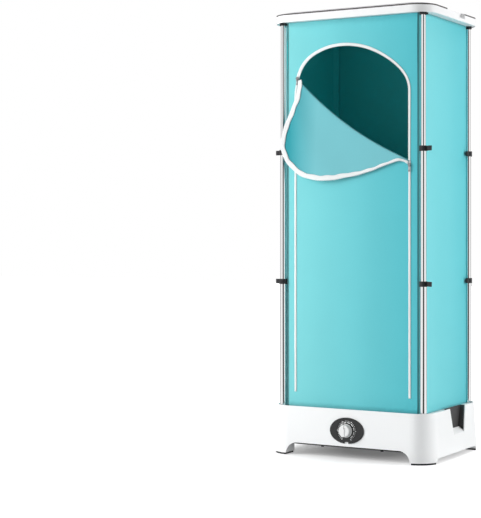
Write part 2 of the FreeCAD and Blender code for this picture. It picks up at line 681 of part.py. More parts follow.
def timer_unit():
    half = TIMER_W / 2
    case = box(-half, half, -half, half, -WALL - TIMER_DEEP, -WALL)
    case = case.makeFillet(3.0, [edge for edge in case.Edges
                                 if edge.BoundBox.ZLength > TIMER_DEEP - 1])
    bush = rod(TIMER_BUSH_R, -WALL, knob_floor())
    case = case.fuse(bush)
    return on_wall(case.cut(rod(TIMER_SHAFT_R + RUN_GAP, -WALL - TIMER_DEEP / 2, DIAL_T + 1)))


def cord_gland():
    """Gland through the rear wall: outside flange, barrel, and a nut inside."""
    lean = WALL_LEAN * (BASE_H - GLAND_Z)
    face = RIM_D / 2 + lean
    flange = rod(GLAND_R, 0, GLAND_FLANGE)
    barrel = rod(GLAND_HOLE_R, -WALL - GLAND_NUT - 2, 0)
    nut = polygon([(1.2 * GLAND_R * math.cos(math.radians(60 * k)),
                    1.2 * GLAND_R * math.sin(math.radians(60 * k))) for k in range(6)],
                  -WALL - GLAND_NUT)
    gland = flange.fuse([barrel, nut.extrude(Vector(0, 0, GLAND_NUT))])
    gland = gland.cut(rod(GLAND_BORE_R, -WALL - GLAND_NUT - 3, GLAND_FLANGE + 1))
    gland.Placement = Placement(Vector(GLAND_X, face, GLAND_Z),
                                Rotation(Vector(1, 0, 0), DIAL_TILT - 90))
    return gland


# ---------------------------------------------------------------- poles and clamps

def lower_tubes():
    top = LOWER_CLAMP_Z + TUBE_PROUD
    return Part.makeCompound(at_poles(pipe(LOWER_R, LOWER_R - TUBE_T, POST_SEAT_Z, top)))


def middle_tube(corner):
    side_x, side_y = CORNERS[corner]
    return pipe(MIDDLE_R, MIDDLE_R - TUBE_T, LOWER_CLAMP_Z - TUBE_LAP,
                UPPER_CLAMP_Z + TUBE_PROUD, side_x * POLE_X, side_y * POLE_Y)


def upper_tubes():
    top = LID_Z - SOCKET_DROP + SOCKET_H - SOCKET_WALL
    return Part.makeCompound(at_poles(pipe(UPPER_R, UPPER_R - TUBE_T,
                                           UPPER_CLAMP_Z - TUBE_LAP, top)))


def clamp_collar(held_r, sliding_r):
    """Collar on a tube's upper end, with a fork for the cam lever; +X is the fork's way."""
    half = CLAMP_H / 2
    ring = rod(CLAMP_R, -half, half)
    cheek_end = FORK_END - FORK_W / 2
    fork = box(CLAMP_R / 2, cheek_end, FORK_SIDE - FORK_W / 2, FORK_SIDE + FORK_W / 2,
               -half + 1, half - 1)
    fork = fork.fuse(rod(FORK_W / 2, -half + 1, half - 1, cheek_end, FORK_SIDE))
    slot_half = LEVER_HEAD_H / 2 + SEAT_GAP
    slot = box(PIVOT_OUT - LEVER_HEAD_R - 2 * SEAT_GAP, FORK_END + 5, -FAR, FAR,
               -slot_half, slot_half)
    collar = ring.fuse(fork.cut(slot)).removeSplitter()
    collar = collar.cut(rod(held_r, -half - 1, TUBE_PROUD))
    collar = collar.cut(rod(sliding_r + SLIDE_GAP, TUBE_PROUD - 1, half + 1))
    return collar.cut(rod(PIVOT_R + RUN_GAP, -half - 1, half + 1, PIVOT_OUT, FORK_SIDE))


def cam_lever():
    """Lever with a round cam head, its own trunnions, and a tall tapering paddle."""
    half = LEVER_HEAD_H / 2
    head = rod(LEVER_HEAD_R, -half, half, PIVOT_OUT, FORK_SIDE)
    arm_w = LEVER_ARM_W / 2
    tip_w = LEVER_TIP_W / 2
    arm = box(PIVOT_OUT, PADDLE_FROM + 1, FORK_SIDE - arm_w, FORK_SIDE + arm_w, -half, half)
    paddle = polygon([(PADDLE_FROM, FORK_SIDE - arm_w), (LEVER_TIP - 4, FORK_SIDE - arm_w),
                      (LEVER_TIP, FORK_SIDE - tip_w), (LEVER_TIP, FORK_SIDE + tip_w),
                      (LEVER_TIP - 4, FORK_SIDE + arm_w), (PADDLE_FROM, FORK_SIDE + arm_w)],
                     -PADDLE_H / 2).extrude(Vector(0, 0, PADDLE_H))
    trunnions = rod(PIVOT_R, 1 - CLAMP_H / 2, CLAMP_H / 2 - 1, PIVOT_OUT, FORK_SIDE)
    return head.fuse([arm, paddle, trunnions]).removeSplitter()


# ---------------------------------------------------------------- lid

def crown(inset, drop):
    """Low dome over the lid, through a few drawn-in outlines."""
    outlines = []
    for step_in, rise in CROWN_STEPS:
        grow = LID_OVERHANG - TRIM_T - inset - step_in
        radius = RIM_R + LID_OVERHANG - inset - 0.2 * step_in
        outlines.append(rounded_outline(RIM_W / 2 + grow, RIM_D / 2 + grow, radius,
                                        CROWN_Z - drop + rise * CROWN_H))
    return Part.makeLoft(outlines, True, True)


def scoop(grow):
    """Cutter for the right-hand scoop: a trapezoid seen from the side, open at the top."""
    low = LID_Z + SCOOP_FLOOR - grow
    high = CROWN_Z + 2 * CROWN_H
    half = SCOOP_W / 2 + grow
    profile = ((SCOOP_SLANT - half, low), (half - SCOOP_SLANT, low), (half, high), (-half, high))
    return side_prism(profile, RIM_W / 2 + LID_OVERHANG - SCOOP_IN - grow, FAR / 2)


def lid_shell():
    outer = rim_prism(LID_OVERHANG, LID_Z, TRIM_Z)
    outer = outer.fuse(rim_prism(LID_OVERHANG - TRIM_T, TRIM_Z, CROWN_Z))
    outer = outer.fuse(crown(0, 0)).cut(both_sides(scoop(0)))
    inner = rim_prism(LID_OVERHANG - WALL, LID_Z - 1, CROWN_Z - WALL)
    inner = inner.fuse(crown(WALL - TRIM_T, WALL)).cut(both_sides(scoop(WALL)))
    socket_top = LID_Z - SOCKET_DROP + SOCKET_H
    bosses = at_poles(rod(UPPER_R + SOCKET_WALL, socket_top, CROWN_Z + BOSS_RISE))
    bosses += [rod(SCREW_HEAD_R + 1, LINER_TOP, CROWN_Z + CROWN_H - WALL / 2, x, y)
               for x, y in liner_screw_places()]
    holes = [rod(SCREW_R, LINER_TOP - 1, LINER_TOP + SCREW_LENGTH, x, y)
             for x, y in liner_screw_places()]
    shell = outer.cut(inner).fuse(bosses).cut(Part.makeCompound(holes))
    return shell.removeSplitter()


def lid_trim():
    """Thin dark strip in the step above the skirt, broken at the scoops."""
    ring = rim_prism(LID_OVERHANG, TRIM_Z, CROWN_Z)
    ring = ring.cut(rim_prism(LID_OVERHANG - TRIM_T, TRIM_Z - 1, CROWN_Z + 1))
    return ring.cut(both_sides(scoop(SEAT_GAP)))


def liner_screw_places():
    return [(side_x * RIM_W / 4, side_y * RIM_D / 3.5) for side_x, side_y in CORNERS.values()]


def lid_liner():
    plate = rim_prism(LID_OVERHANG - WALL - SEAT_GAP, LINER_Z, LINER_TOP)
    holes = at_poles(rod(UPPER_R + SOCKET_WALL + SEAT_GAP, LINER_Z - 1, LINER_TOP + 1))
    holes += [rod(SCREW_R, LINER_Z - 1, LINER_TOP + 1, x, y) for x, y in liner_screw_places()]
    return plate.cut(Part.makeCompound(holes))


def liner_screws():
    screws = [screw(x, y, LINER_Z) for x, y in liner_screw_places()]
    return Part.makeCompound(screws)


def top_sockets():
    """Black socket on each pole's top: barrel, flange above the liner, release tab."""
    z0 = LID_Z - SOCKET_DROP
    z1 = z0 + SOCKET_H
    barrel = rod(UPPER_R + SOCKET_WALL, z0, z1)
    flange = rod(UPPER_R + SOCKET_WALL + SOCKET_FLANGE, LINER_TOP, LINER_TOP + LINER_T)
    tab = box(0, TAB_OUT, FORK_SIDE - TAB_W / 2, FORK_SIDE + TAB_W / 2, z0 - 1, z0 + TAB_W - 1)
    socket = barrel.fuse([flange, tab]).removeSplitter()
    socket = socket.cut(rod(UPPER_R, z0 - 2, z1 - SOCKET_WALL))
    return Part.makeCompound([turned_to(corner, socket, 0) for corner in CORNERS])


RAIL_HALF = COVER_Y - COVER_T - RAIL_END_GAP


def hanging_rail():
    rail = pipe(RAIL_R, RAIL_R - RAIL_T, -RAIL_HALF, RAIL_HALF)
    rail.rotate(ORIGIN, Vector(1, 0, 0), 90)
    rail.translate(Vector(0, 0, RAIL_Z))
    return rail


def rail_brackets():
    """Two hangers under the liner, each a plate that rounds the rail."""
    outer_r = RAIL_R + BRACKET_WALL
    ring = rod(outer_r, 0, BRACKET_T)
    web = box(-outer_r, outer_r, 0, RAIL_DROP - BRACKET_WALL, 0, BRACKET_T)
    foot = box(-BRACKET_W, BRACKET_W, RAIL_DROP - BRACKET_WALL, RAIL_DROP, 0, BRACKET_T)
    bracket = ring.fuse([web, foot]).cut(rod(RAIL_R, -1, BRACKET_T + 1)).removeSplitter()
    bracket.rotate(ORIGIN, Vector(1, 0, 0), 90)
    front = bracket.copy()
    front.translate(Vector(0, BRACKET_T - RAIL_HALF, RAIL_Z))
    rear = bracket.copy()
    rear.translate(Vector(0, RAIL_HALF, RAIL_Z))
    return Part.makeCompound([front, rear])


# ---------------------------------------------------------------- fabric cover

def upright_panel(face, back_y, thickness):
    """Stand a face drawn in X and Z up as a sheet whose back is at this Y."""
    panel = face.extrude(Vector(0, 0, thickness))
    panel.rotate(ORIGIN, Vector(1, 0, 0), 90)
    panel.translate(Vector(0, back_y, 0))
    return panel


def door_face(grow):
    """Door outline: upright sides under half an ellipse."""
    half = DOOR_HALF + grow
    oval = Part.Ellipse(Vector(0, SPRING_Z, 0), half, ARCH_RISE + grow)
    arch = Part.ArcOfEllipse(oval, 0, math.pi).toShape()
    corners = [Vector(-half, SPRING_Z, 0), Vector(-half, DOOR_Z, 0), Vector(half, DOOR_Z, 0),
               Vector(half, SPRING_Z, 0)]
    sides = [Part.LineSegment(a, b).toShape() for a, b in zip(corners, corners[1:])]
    return Part.Face(Part.Wire([arch] + sides))


FOLD_LEFT = Vector(FOLD_LEFT_X, FOLD_LEFT_Z, 0)
FOLD_RIGHT = Vector(DOOR_HALF, FOLD_RIGHT_Z, 0)
FOLD_LENGTH = (FOLD_RIGHT - FOLD_LEFT).Length
FOLD_WAY = (FOLD_RIGHT - FOLD_LEFT) * (1.0 / FOLD_LENGTH)
FOLD_DOWN = Vector(FOLD_WAY.y, -FOLD_WAY.x, 0)


def below_fold():
    """Area under the fold line, which sags in one arc between its two ends."""
    left = FOLD_LEFT - FOLD_WAY * FAR
    right = FOLD_RIGHT + FOLD_WAY * FAR
    lowest = (FOLD_LEFT + FOLD_RIGHT) * 0.5 + FOLD_DOWN * FOLD_SAG
    fold = Part.Arc(FOLD_LEFT, lowest, FOLD_RIGHT).toShape()
    corners = [FOLD_RIGHT, right, right + FOLD_DOWN * 3 * FAR, left + FOLD_DOWN * 3 * FAR,
               left, FOLD_LEFT]
    around = [Part.LineSegment(a, b).toShape() for a, b in zip(corners, corners[1:])]
    return Part.Face(Part.Wire([fold] + around))


def tape_band():
    return door_face(TAPE_W / 2).cut(door_face(-TAPE_W / 2))


FRONT_BACK_Y = COVER_T - COVER_Y             # inner face of the front panel


def cover_front():
    half = COVER_X - COVER_CHAMFER
    sheet = polygon([(-half, COVER_Z), (half, COVER_Z), (half, COVER_TOP), (-half, COVER_TOP)])
    return upright_panel(sheet.cut(door_face(TAPE_W / 2)), FRONT_BACK_Y, COVER_T)


def cover_back():
    half = COVER_X - COVER_CHAMFER
    return box(-half, half, COVER_Y - COVER_T, COVER_Y, COVER_Z, COVER_TOP)


def cover_side():
    """Right-hand panel, with both corners drawn in behind their poles."""
    near = COVER_X - COVER_CHAMFER
    end = COVER_Y - COVER_CHAMFER
    bend = COVER_T * math.tan(math.radians(22.5))
    outline = [(near, -COVER_Y), (COVER_X, -end), (COVER_X, end), (near, COVER_Y),
               (near, COVER_Y - COVER_T), (COVER_X - COVER_T, end - bend),
               (COVER_X - COVER_T, bend - end), (near, COVER_T - COVER_Y)]
    return polygon(outline, COVER_Z).extrude(Vector(0, 0, COVER_TOP - COVER_Z))


def door_panel():
    face = door_face(-TAPE_W / 2).common(below_fold())
    return upright_panel(face, FRONT_BACK_Y, COVER_T)


def zip_closed():
    return upright_panel(tape_band().common(below_fold()), FRONT_BACK_Y, COVER_T)


def zip_arch():
    return upright_panel(tape_band().cut(below_fold()), FRONT_BACK_Y, COVER_T)


def flap_face(share):
    """Outline of the folded part: a smooth free edge, closed by the line of its ends."""
    points = [FOLD_LEFT]
    for along, below in FLAP_EDGE:
        points.append(FOLD_LEFT + FOLD_WAY * (along * FOLD_LENGTH) + FOLD_DOWN * below)
    points.append(FOLD_RIGHT)
    middle = (FOLD_LEFT + FOLD_RIGHT) * 0.5
    points = [middle + (point - middle) * share for point in points]
    curve = Part.BSplineCurve()
    curve.interpolate(points)
    closing = Part.LineSegment(points[-1], points[0])
    return Part.Face(Part.Wire([curve.toShape(), closing.toShape()]))


def flap_sheet():
    """Sheet that rolls over the fold line and hangs in front of the door."""
    curve = Part.BSplineCurve()
    curve.interpolate([Vector(0, below, -forward) for below, forward in FLAP_STAND])
    skin = curve.toShape().extrude(Vector(2 * FOLD_LENGTH, 0, 0))
    sheet = skin.extrude(Vector(0, 0, -FLAP_T))
    sheet.translate(Vector(-FOLD_LENGTH / 2, 0, 0))
    way = Vector(FOLD_WAY.x, 0, FOLD_WAY.y)
    down = Vector(FOLD_DOWN.x, 0, FOLD_DOWN.y)
    sheet.Placement = Placement(Vector(FOLD_LEFT_X, -COVER_Y, FOLD_LEFT_Z),
                                Rotation(way, down, Vector(0, 1, 0), "XYZ")) * sheet.Placement
    return sheet


def on_flap(face):
    """The part of the hanging sheet that lies behind a face and below the fold line."""
    return flap_sheet().common(upright_panel(face.common(below_fold()), 0, FAR))


def door_flap():
    return on_flap(flap_face(1 - FLAP_TAPE))


def flap_zip():
    return on_flap(flap_face(1).cut(flap_face(1 - FLAP_TAPE)))


SLIDER_Y = -COVER_Y - SOFT_GAP
SLIDER_PLACES = {
    "left": (FOLD_LEFT_X - SLIDER_W / 2, FOLD_LEFT_Z + SLIDER_H / 2 + 1),
    "right": (DOOR_HALF, FOLD_RIGHT_Z - SLIDER_H),
}


def zip_slider(side):
    """Slider body with a small bail that holds the pull tab's pin."""
    x, z = SLIDER_PLACES[side]
    body = box(-SLIDER_W / 2, SLIDER_W / 2, -SLIDER_T, 0, -SLIDER_H / 2, SLIDER_H / 2)
    body = body.makeFillet(1.2, [edge for edge in body.Edges
                                 if edge.BoundBox.YLength > SLIDER_T - 0.1])
    ears = [box(sign * PULL_W / 2 - 0.6 + sign, sign * PULL_W / 2 + 0.6 + sign,
                -SLIDER_T - 3, -SLIDER_T, -1.8, 1.8) for sign in (-1, 1)]
    hole = Part.makeCylinder(SLIDER_BAR_R + RUN_GAP, 4 * PULL_W,
                             Vector(-2 * PULL_W, -SLIDER_T - 1.6, 0), Vector(1, 0, 0))
    slider = body.fuse(ears).cut(hole)
    slider.translate(Vector(x, SLIDER_Y, z))
    return slider


def pull_tab(side):
    x, z = SLIDER_PLACES[side]
    pin = Part.makeCylinder(SLIDER_BAR_R, PULL_W + 3.2, Vector(-PULL_W / 2 - 1.6, 0, 0),
                            Vector(1, 0, 0))
    leaf = box(-PULL_W / 2, PULL_W / 2, -PULL_T / 2, PULL_T / 2, -TAB_LENGTH, 0)
    leaf = leaf.cut(box(-PULL_W / 4, PULL_W / 4, -PULL_T, PULL_T, 6 - TAB_LENGTH, -4))
    tab = leaf.fuse(pin)
    tab.translate(Vector(x, SLIDER_Y - SLIDER_T - 1.6, z))
    return tab


# ---------------------------------------------------------------- write every piece

save("base_housing", base_housing())
save("top_deck", top_deck())
save("outlet_grille", outlet_grille())
save("bottom_pan", bottom_pan())
save("foot_pads", foot_pads())
save("grip_cup_right", grip_cup())
save("grip_cup_left", grip_cup().mirror(ORIGIN, Vector(1, 0, 0)))
save("pan_screws", pan_screws())
save("fan_duct", fan_duct())
save("motor_bracket", motor_bracket())
save("fan_motor", fan_motor())
save("fan_impeller", fan_impeller())
save("heater_frame", heater_frame())
save("heater_core", heater_core())
save("thermal_cutout", thermal_cutout())
save("dial_plate", dial_plate())
save("control_knob", control_knob())
save("timer_shaft", timer_shaft())
save("timer_unit", timer_unit())
save("cord_gland", cord_gland())

save("lower_tubes", lower_tubes())
save("upper_tubes", upper_tubes())
LOWER_COLLAR = clamp_collar(LOWER_R, MIDDLE_R)
UPPER_COLLAR = clamp_collar(MIDDLE_R, UPPER_R)
save("lower_collars", Part.makeCompound([turned_to(corner, LOWER_COLLAR, LOWER_CLAMP_Z)
                                         for corner in CORNERS]))
for CORNER in CORNERS:
    save("middle_tube_" + CORNER, middle_tube(CORNER))
    save("upper_collar_" + CORNER, turned_to(CORNER, UPPER_COLLAR, UPPER_CLAMP_Z))
    save("lower_lever_" + CORNER, turned_to(CORNER, cam_lever(), LOWER_CLAMP_Z))
    save("upper_lever_" + CORNER, turned_to(CORNER, cam_lever(), UPPER_CLAMP_Z))

save("lid_shell", lid_shell())
save("lid_trim", lid_trim())
save("lid_liner", lid_liner())
save("liner_screws", liner_screws())
save("top_sockets", top_sockets())
save("hanging_rail", hanging_rail())
save("rail_brackets", rail_brackets())

save("cover_front", cover_front())
save("cover_back", cover_back())
save("cover_right", cover_side())
save("cover_left", cover_side().mirror(ORIGIN, Vector(1, 0, 0)))
save("door_panel", door_panel())
save("door_flap", door_flap())
save("zip_closed", zip_closed())
save("zip_arch", zip_arch())
save("flap_zip", flap_zip())
for SIDE in SLIDER_PLACES:
    save("zip_slider_" + SIDE, zip_slider(SIDE))
    save("pull_tab_" + SIDE, pull_tab(SIDE))

# places that a reader of the part may want: the two travels of the poles, and the shift
MIDDLE_TRAVEL = UPPER_CLAMP_Z - LOWER_CLAMP_Z - CLAMP_H - PARK_GAP
print("each stage travels %.1f, the lid %.1f" % (MIDDLE_TRAVEL, 2 * MIDDLE_TRAVEL))
print("origin lies %.3f behind the knob-free middle" % -CENTRE_SHIFT)
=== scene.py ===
import math

import bmesh
import bpy
import numpy as np
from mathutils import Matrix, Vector


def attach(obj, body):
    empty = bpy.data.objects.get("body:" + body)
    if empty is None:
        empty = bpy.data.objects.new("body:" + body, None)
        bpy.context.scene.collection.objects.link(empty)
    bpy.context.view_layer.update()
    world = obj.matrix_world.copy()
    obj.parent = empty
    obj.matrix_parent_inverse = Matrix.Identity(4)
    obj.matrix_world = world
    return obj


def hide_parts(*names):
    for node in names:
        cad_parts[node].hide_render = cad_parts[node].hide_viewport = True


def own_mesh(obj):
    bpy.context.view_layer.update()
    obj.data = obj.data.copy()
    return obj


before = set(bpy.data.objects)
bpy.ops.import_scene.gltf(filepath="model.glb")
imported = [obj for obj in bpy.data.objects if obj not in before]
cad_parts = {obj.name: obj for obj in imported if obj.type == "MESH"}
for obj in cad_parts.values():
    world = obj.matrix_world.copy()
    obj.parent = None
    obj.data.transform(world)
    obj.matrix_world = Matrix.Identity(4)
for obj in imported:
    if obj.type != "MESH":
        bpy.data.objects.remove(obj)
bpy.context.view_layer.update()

# ---------------------------------------------------------------- studio and camera
# A pale floor, a white room and three broad soft lamps: from the front left, from the
# right, and from above behind.  The camera looks at the cabinet's front right corner from
# waist height.
SCENE = bpy.context.scene
SCENE.view_settings.view_transform = "Standard"
VIEW_TURN = math.radians(30.2)
SETBACK = 0.010852          # the cabinet's middle lies this far behind the origin
ROOM_LEVEL = 0.36           # even light from the room

camera_data = bpy.data.cameras.new("camera")
camera = bpy.data.objects.new("camera", camera_data)
SCENE.collection.objects.link(camera)
SCENE.camera = camera
camera_data.lens = 100.24
camera_data.sensor_width = 36.0
camera_data.shift_y = -0.0526
camera_data.clip_end = 60.0
camera.location = (2.0451, -4.4228 + SETBACK, 0.7353)
camera.rotation_euler = (math.pi / 2, 0.0, VIEW_TURN)


def soft_lamp(name, place, aim, width, height, power):
    """Rectangular lamp at a place, turned to face a point."""
    data = bpy.data.lights.new(name, "AREA")
    data.shape = "RECTANGLE"
    data.size = width
    data.size_y = height
    data.energy = power
    lamp = bpy.data.objects.new(name, data)
    SCENE.collection.objects.link(lamp)
    lamp.location = place
    lamp.rotation_euler = (Vector(aim) - Vector(place)).to_track_quat("-Z", "Y").to_euler()
    lamp.visible_glossy = False
    return lamp


soft_lamp("key_left", (-2.53, -2.27, 1.5), (0.0, 0.0, 0.8), 1.8, 2.4, 113.0)
soft_lamp("side_right", (2.82, 1.03, 1.3), (0.0, 0.0, 0.8), 1.8, 2.2, 54.0)
soft_lamp("top_back", (0.4, 2.3, 3.1), (0.0, 0.0, 1.0), 2.4, 1.6, 75.0)


def link_value(tree, socket, value):
    """Feed a socket with another socket or with a constant."""
    if isinstance(value, bpy.types.NodeSocket):
        tree.links.new(value, socket)
    else:
        socket.default_value = value


def calculate(tree, operation, *values):
    """One Math node; each value is a socket or a number."""
    node = tree.nodes.new("ShaderNodeMath")
    node.operation = operation
    for socket, value in zip(node.inputs, values):
        link_value(tree, socket, value)
    return node.outputs[0]


def cards_group():
    """What chrome mirrors, by the azimuth of a direction: Level is dark beside the camera,
    white to both sides and grey behind the cabinet."""
    group = bpy.data.node_groups.new("studio cards", "ShaderNodeTree")
    group.interface.new_socket("Direction", in_out="INPUT", socket_type="NodeSocketVector")
    group.interface.new_socket("Level", in_out="OUTPUT", socket_type="NodeSocketFloat")
    entry = group.nodes.new("NodeGroupInput")
    leave = group.nodes.new("NodeGroupOutput")
    parts = group.nodes.new("ShaderNodeSeparateXYZ")
    group.links.new(entry.outputs[0], parts.inputs[0])
    azimuth = calculate(group, "ARCTAN2", parts.outputs[1], parts.outputs[0])
    away = calculate(group, "ABSOLUTE", calculate(group, "SUBTRACT", azimuth,
                                                  VIEW_TURN - math.pi / 2))
    short = calculate(group, "MINIMUM", away, calculate(group, "SUBTRACT", 2 * math.pi, away))
    ramp = group.nodes.new("ShaderNodeValToRGB")
    ramp.color_ramp.interpolation = "EASE"
    stops = ramp.color_ramp.elements
    stops[0].position, stops[1].position = 0.09, 0.17
    stops[0].color, stops[1].color = (0.05, 0.05, 0.05, 1.0), (1.0, 1.0, 1.0, 1.0)
    for position, level in ((0.5, 1.0), (0.62, 0.42)):
        stops.new(position).color = (level, level, level, 1.0)
    group.links.new(calculate(group, "DIVIDE", short, math.pi), ramp.inputs[0])
    group.links.new(ramp.outputs[0], leave.inputs[0])
    return group


STUDIO_CARDS = cards_group()


def light_room():
    """World: even room light; seen it is white, and mirrored it is the studio cards."""
    world = bpy.data.worlds.new("room")
    SCENE.world = world
    world.use_nodes = True
    tree = world.node_tree
    rays = tree.nodes.new("ShaderNodeLightPath")
    direction = tree.nodes.new("ShaderNodeTexCoord")
    cards = tree.nodes.new("ShaderNodeGroup")
    cards.node_tree = STUDIO_CARDS
    tree.links.new(direction.outputs["Generated"], cards.inputs[0])
    seen = calculate(tree, "ADD", rays.outputs["Is Camera Ray"],
                     rays.outputs["Is Transmission Ray"])
    mirrored = calculate(tree, "MULTIPLY", rays.outputs["Is Glossy Ray"], cards.outputs[0])
    plain = calculate(tree, "SUBTRACT", 1.0,
                      calculate(tree, "ADD", seen, rays.outputs["Is Glossy Ray"]))
    level = calculate(tree, "ADD", calculate(tree, "ADD", seen, mirrored),
                      calculate(tree, "MULTIPLY", plain, ROOM_LEVEL))
    background = tree.nodes["Background"]
    background.inputs["Color"].default_value = (1.0, 1.0, 1.0, 1.0)
    tree.links.new(level, background.inputs["Strength"])


def lay_floor():
    """Pale floor.  The camera sees it fade to white away from the cabinet; chrome sees
    the studio cards in it."""
    mesh = bpy.data.meshes.new("floor")
    reach = 14.0
    corners = [(-reach, -reach, 0.0), (reach, -reach, 0.0), (reach, reach, 0.0),
               (-reach, reach, 0.0)]
    mesh.from_pydata(corners, [], [(0, 1, 2, 3)])
    floor = bpy.data.objects.new("floor", mesh)
    SCENE.collection.objects.link(floor)
    material = bpy.data.materials.new("pale floor")
    material.use_nodes = True
    tree = material.node_tree
    tree.nodes.clear()
    output = tree.nodes.new("ShaderNodeOutputMaterial")
    rays = tree.nodes.new("ShaderNodeLightPath")
    place = tree.nodes.new("ShaderNodeTexCoord")
    matt = tree.nodes.new("ShaderNodeBsdfDiffuse")
    matt.inputs["Color"].default_value = (0.8, 0.8, 0.8, 1.0)
    distance = tree.nodes.new("ShaderNodeVectorMath")
    distance.operation = "LENGTH"
    tree.links.new(place.outputs["Object"], distance.inputs[0])
    fade = tree.nodes.new("ShaderNodeMapRange")
    for name, value in (("From Min", 0.1), ("From Max", 0.9), ("To Min", 0.14), ("To Max", 1.15)):
        fade.inputs[name].default_value = value
    tree.links.new(distance.outputs["Value"], fade.inputs["Value"])
    # painted light: a glow seen only by the camera, weak near the cabinet and strong far from it,
    # so the floor turns white away from it and stays darker round it
    lift = tree.nodes.new("ShaderNodeEmission")
    tree.links.new(calculate(tree, "MULTIPLY", rays.outputs["Is Camera Ray"], fade.outputs[0]),
                   lift.inputs["Strength"])
    lit = tree.nodes.new("ShaderNodeAddShader")
    tree.links.new(matt.outputs[0], lit.inputs[0])
    tree.links.new(lift.outputs[0], lit.inputs[1])
    cards = tree.nodes.new("ShaderNodeGroup")
    cards.node_tree = STUDIO_CARDS
    tree.links.new(place.outputs["Object"], cards.inputs[0])
    mirrored = tree.nodes.new("ShaderNodeEmission")
    tree.links.new(cards.outputs[0], mirrored.inputs["Strength"])
    choice = tree.nodes.new("ShaderNodeMixShader")
    tree.links.new(rays.outputs["Is Glossy Ray"], choice.inputs[0])
    tree.links.new(lit.outputs[0], choice.inputs[1])
    tree.links.new(mirrored.outputs[0], choice.inputs[2])
    tree.links.new(choice.outputs[0], output.inputs["Surface"])
    mesh.materials.append(material)


light_room()
lay_floor()

# ---------------------------------------------------------------- moulded white shells
# The base housing and the lid are injection-moulded ABS with a satin gloss.  The skin has
# a very fine grain and hardly visible flow shade; the housing leans out to its four feet.
SHELL_WHITE = (0.9, 0.905, 0.91)


def grain_group():
    """Moulded skin: Height is fine noise; a broad noise times Drift moves the value of Color,
    and twice that moves Roughness."""
    group = bpy.data.node_groups.new("moulded skin", "ShaderNodeTree")
    face = group.interface
    for name, kind, start in (("Color", "NodeSocketColor", (0.5, 0.5, 0.5, 1.0)),
                              ("Grain Size", "NodeSocketFloat", 900.0),
                              ("Drift", "NodeSocketFloat", 0.02),
                              ("Roughness", "NodeSocketFloat", 0.4)):
        socket = face.new_socket(name, in_out="INPUT", socket_type=kind)
        socket.default_value = start
    face.new_socket("Color", in_out="OUTPUT", socket_type="NodeSocketColor")
    face.new_socket("Roughness", in_out="OUTPUT", socket_type="NodeSocketFloat")
    face.new_socket("Height", in_out="OUTPUT", socket_type="NodeSocketFloat")
    entry = group.nodes.new("NodeGroupInput")
    leave = group.nodes.new("NodeGroupOutput")
    place = group.nodes.new("ShaderNodeTexCoord")
    fine = group.nodes.new("ShaderNodeTexNoise")
    fine.inputs["Detail"].default_value = 3.0
    group.links.new(place.outputs["Object"], fine.inputs["Vector"])
    group.links.new(entry.outputs["Grain Size"], fine.inputs["Scale"])
    broad = group.nodes.new("ShaderNodeTexNoise")
    broad.inputs["Scale"].default_value = 7.0
    broad.inputs["Detail"].default_value = 2.0
    group.links.new(place.outputs["Object"], broad.inputs["Vector"])
    swing = calculate(group, "MULTIPLY",
                      calculate(group, "SUBTRACT", broad.outputs["Fac"], 0.5),
                      entry.outputs["Drift"])
    tone = group.nodes.new("ShaderNodeHueSaturation")
    group.links.new(entry.outputs["Color"], tone.inputs["Color"])
    group.links.new(calculate(group, "ADD", 1.0, swing), tone.inputs["Value"])
    group.links.new(tone.outputs[0], leave.inputs["Color"])
    group.links.new(calculate(group, "ADD", entry.outputs["Roughness"],
                              calculate(group, "MULTIPLY", swing, 2.0)),
                    leave.inputs["Roughness"])
    group.links.new(fine.outputs["Fac"], leave.inputs["Height"])
    return group


MOULDED_SKIN = grain_group()


def moulded(name, color, roughness, grain=900.0, drift=0.03, depth=0.00003, coat=0.0,
            metallic=0.0):
    """A moulded or painted finish: the skin group feeds one Principled shader."""
    material = bpy.data.materials.new(name)
    material.use_nodes = True
    tree = material.node_tree
    shader = tree.nodes["Principled BSDF"]
    skin = tree.nodes.new("ShaderNodeGroup")
    skin.node_tree = MOULDED_SKIN
    skin.inputs["Color"].default_value = (*color, 1.0)
    skin.inputs["Grain Size"].default_value = grain
    skin.inputs["Drift"].default_value = drift
    skin.inputs["Roughness"].default_value = roughness
    bump = tree.nodes.new("ShaderNodeBump")
    bump.inputs["Strength"].default_value = 0.5
    bump.inputs["Distance"].default_value = depth
    tree.links.new(skin.outputs["Height"], bump.inputs["Height"])
    tree.links.new(bump.outputs[0], shader.inputs["Normal"])
    tree.links.new(skin.outputs["Color"], shader.inputs["Base Color"])
    tree.links.new(skin.outputs["Roughness"], shader.inputs["Roughness"])
    shader.inputs["Metallic"].default_value = metallic
    shader.inputs["Coat Weight"].default_value = coat
    shader.inputs["Coat Roughness"].default_value = 0.12
    return material


def dress(material, *nodes):
    """Give CAD nodes a finish in place of their plain slot colour."""
    for node in nodes:
        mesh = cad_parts[node].data
        mesh.materials.clear()
        mesh.materials.append(material)


WHITE_SHELL = moulded("satin white shell", SHELL_WHITE, 0.3, coat=0.15)
dress(WHITE_SHELL, "base_housing", "lid_shell")
dress(moulded("plain white sheet", (0.8, 0.81, 0.81), 0.5), "top_deck", "lid_liner")

# ---------------------------------------------------------------- lid crown
# The lid's top is one smooth low dome, moulded with the skirt.  It rises fast at the edge
# and is almost level in the middle, so water and dust don't stand on it.
LID_Z = 1.428
CROWN_Z = LID_Z + 0.0276
CROWN_HALF = (0.2848, 0.2258)
CROWN_RISE = 0.0116
CROWN_RADIUS = 0.067
CROWN_FROM, CROWN_LEVEL = 0.0175, 0.110     # inset where the dome starts, and is level
CROWN_AROUND = 160          # points round each of its outlines


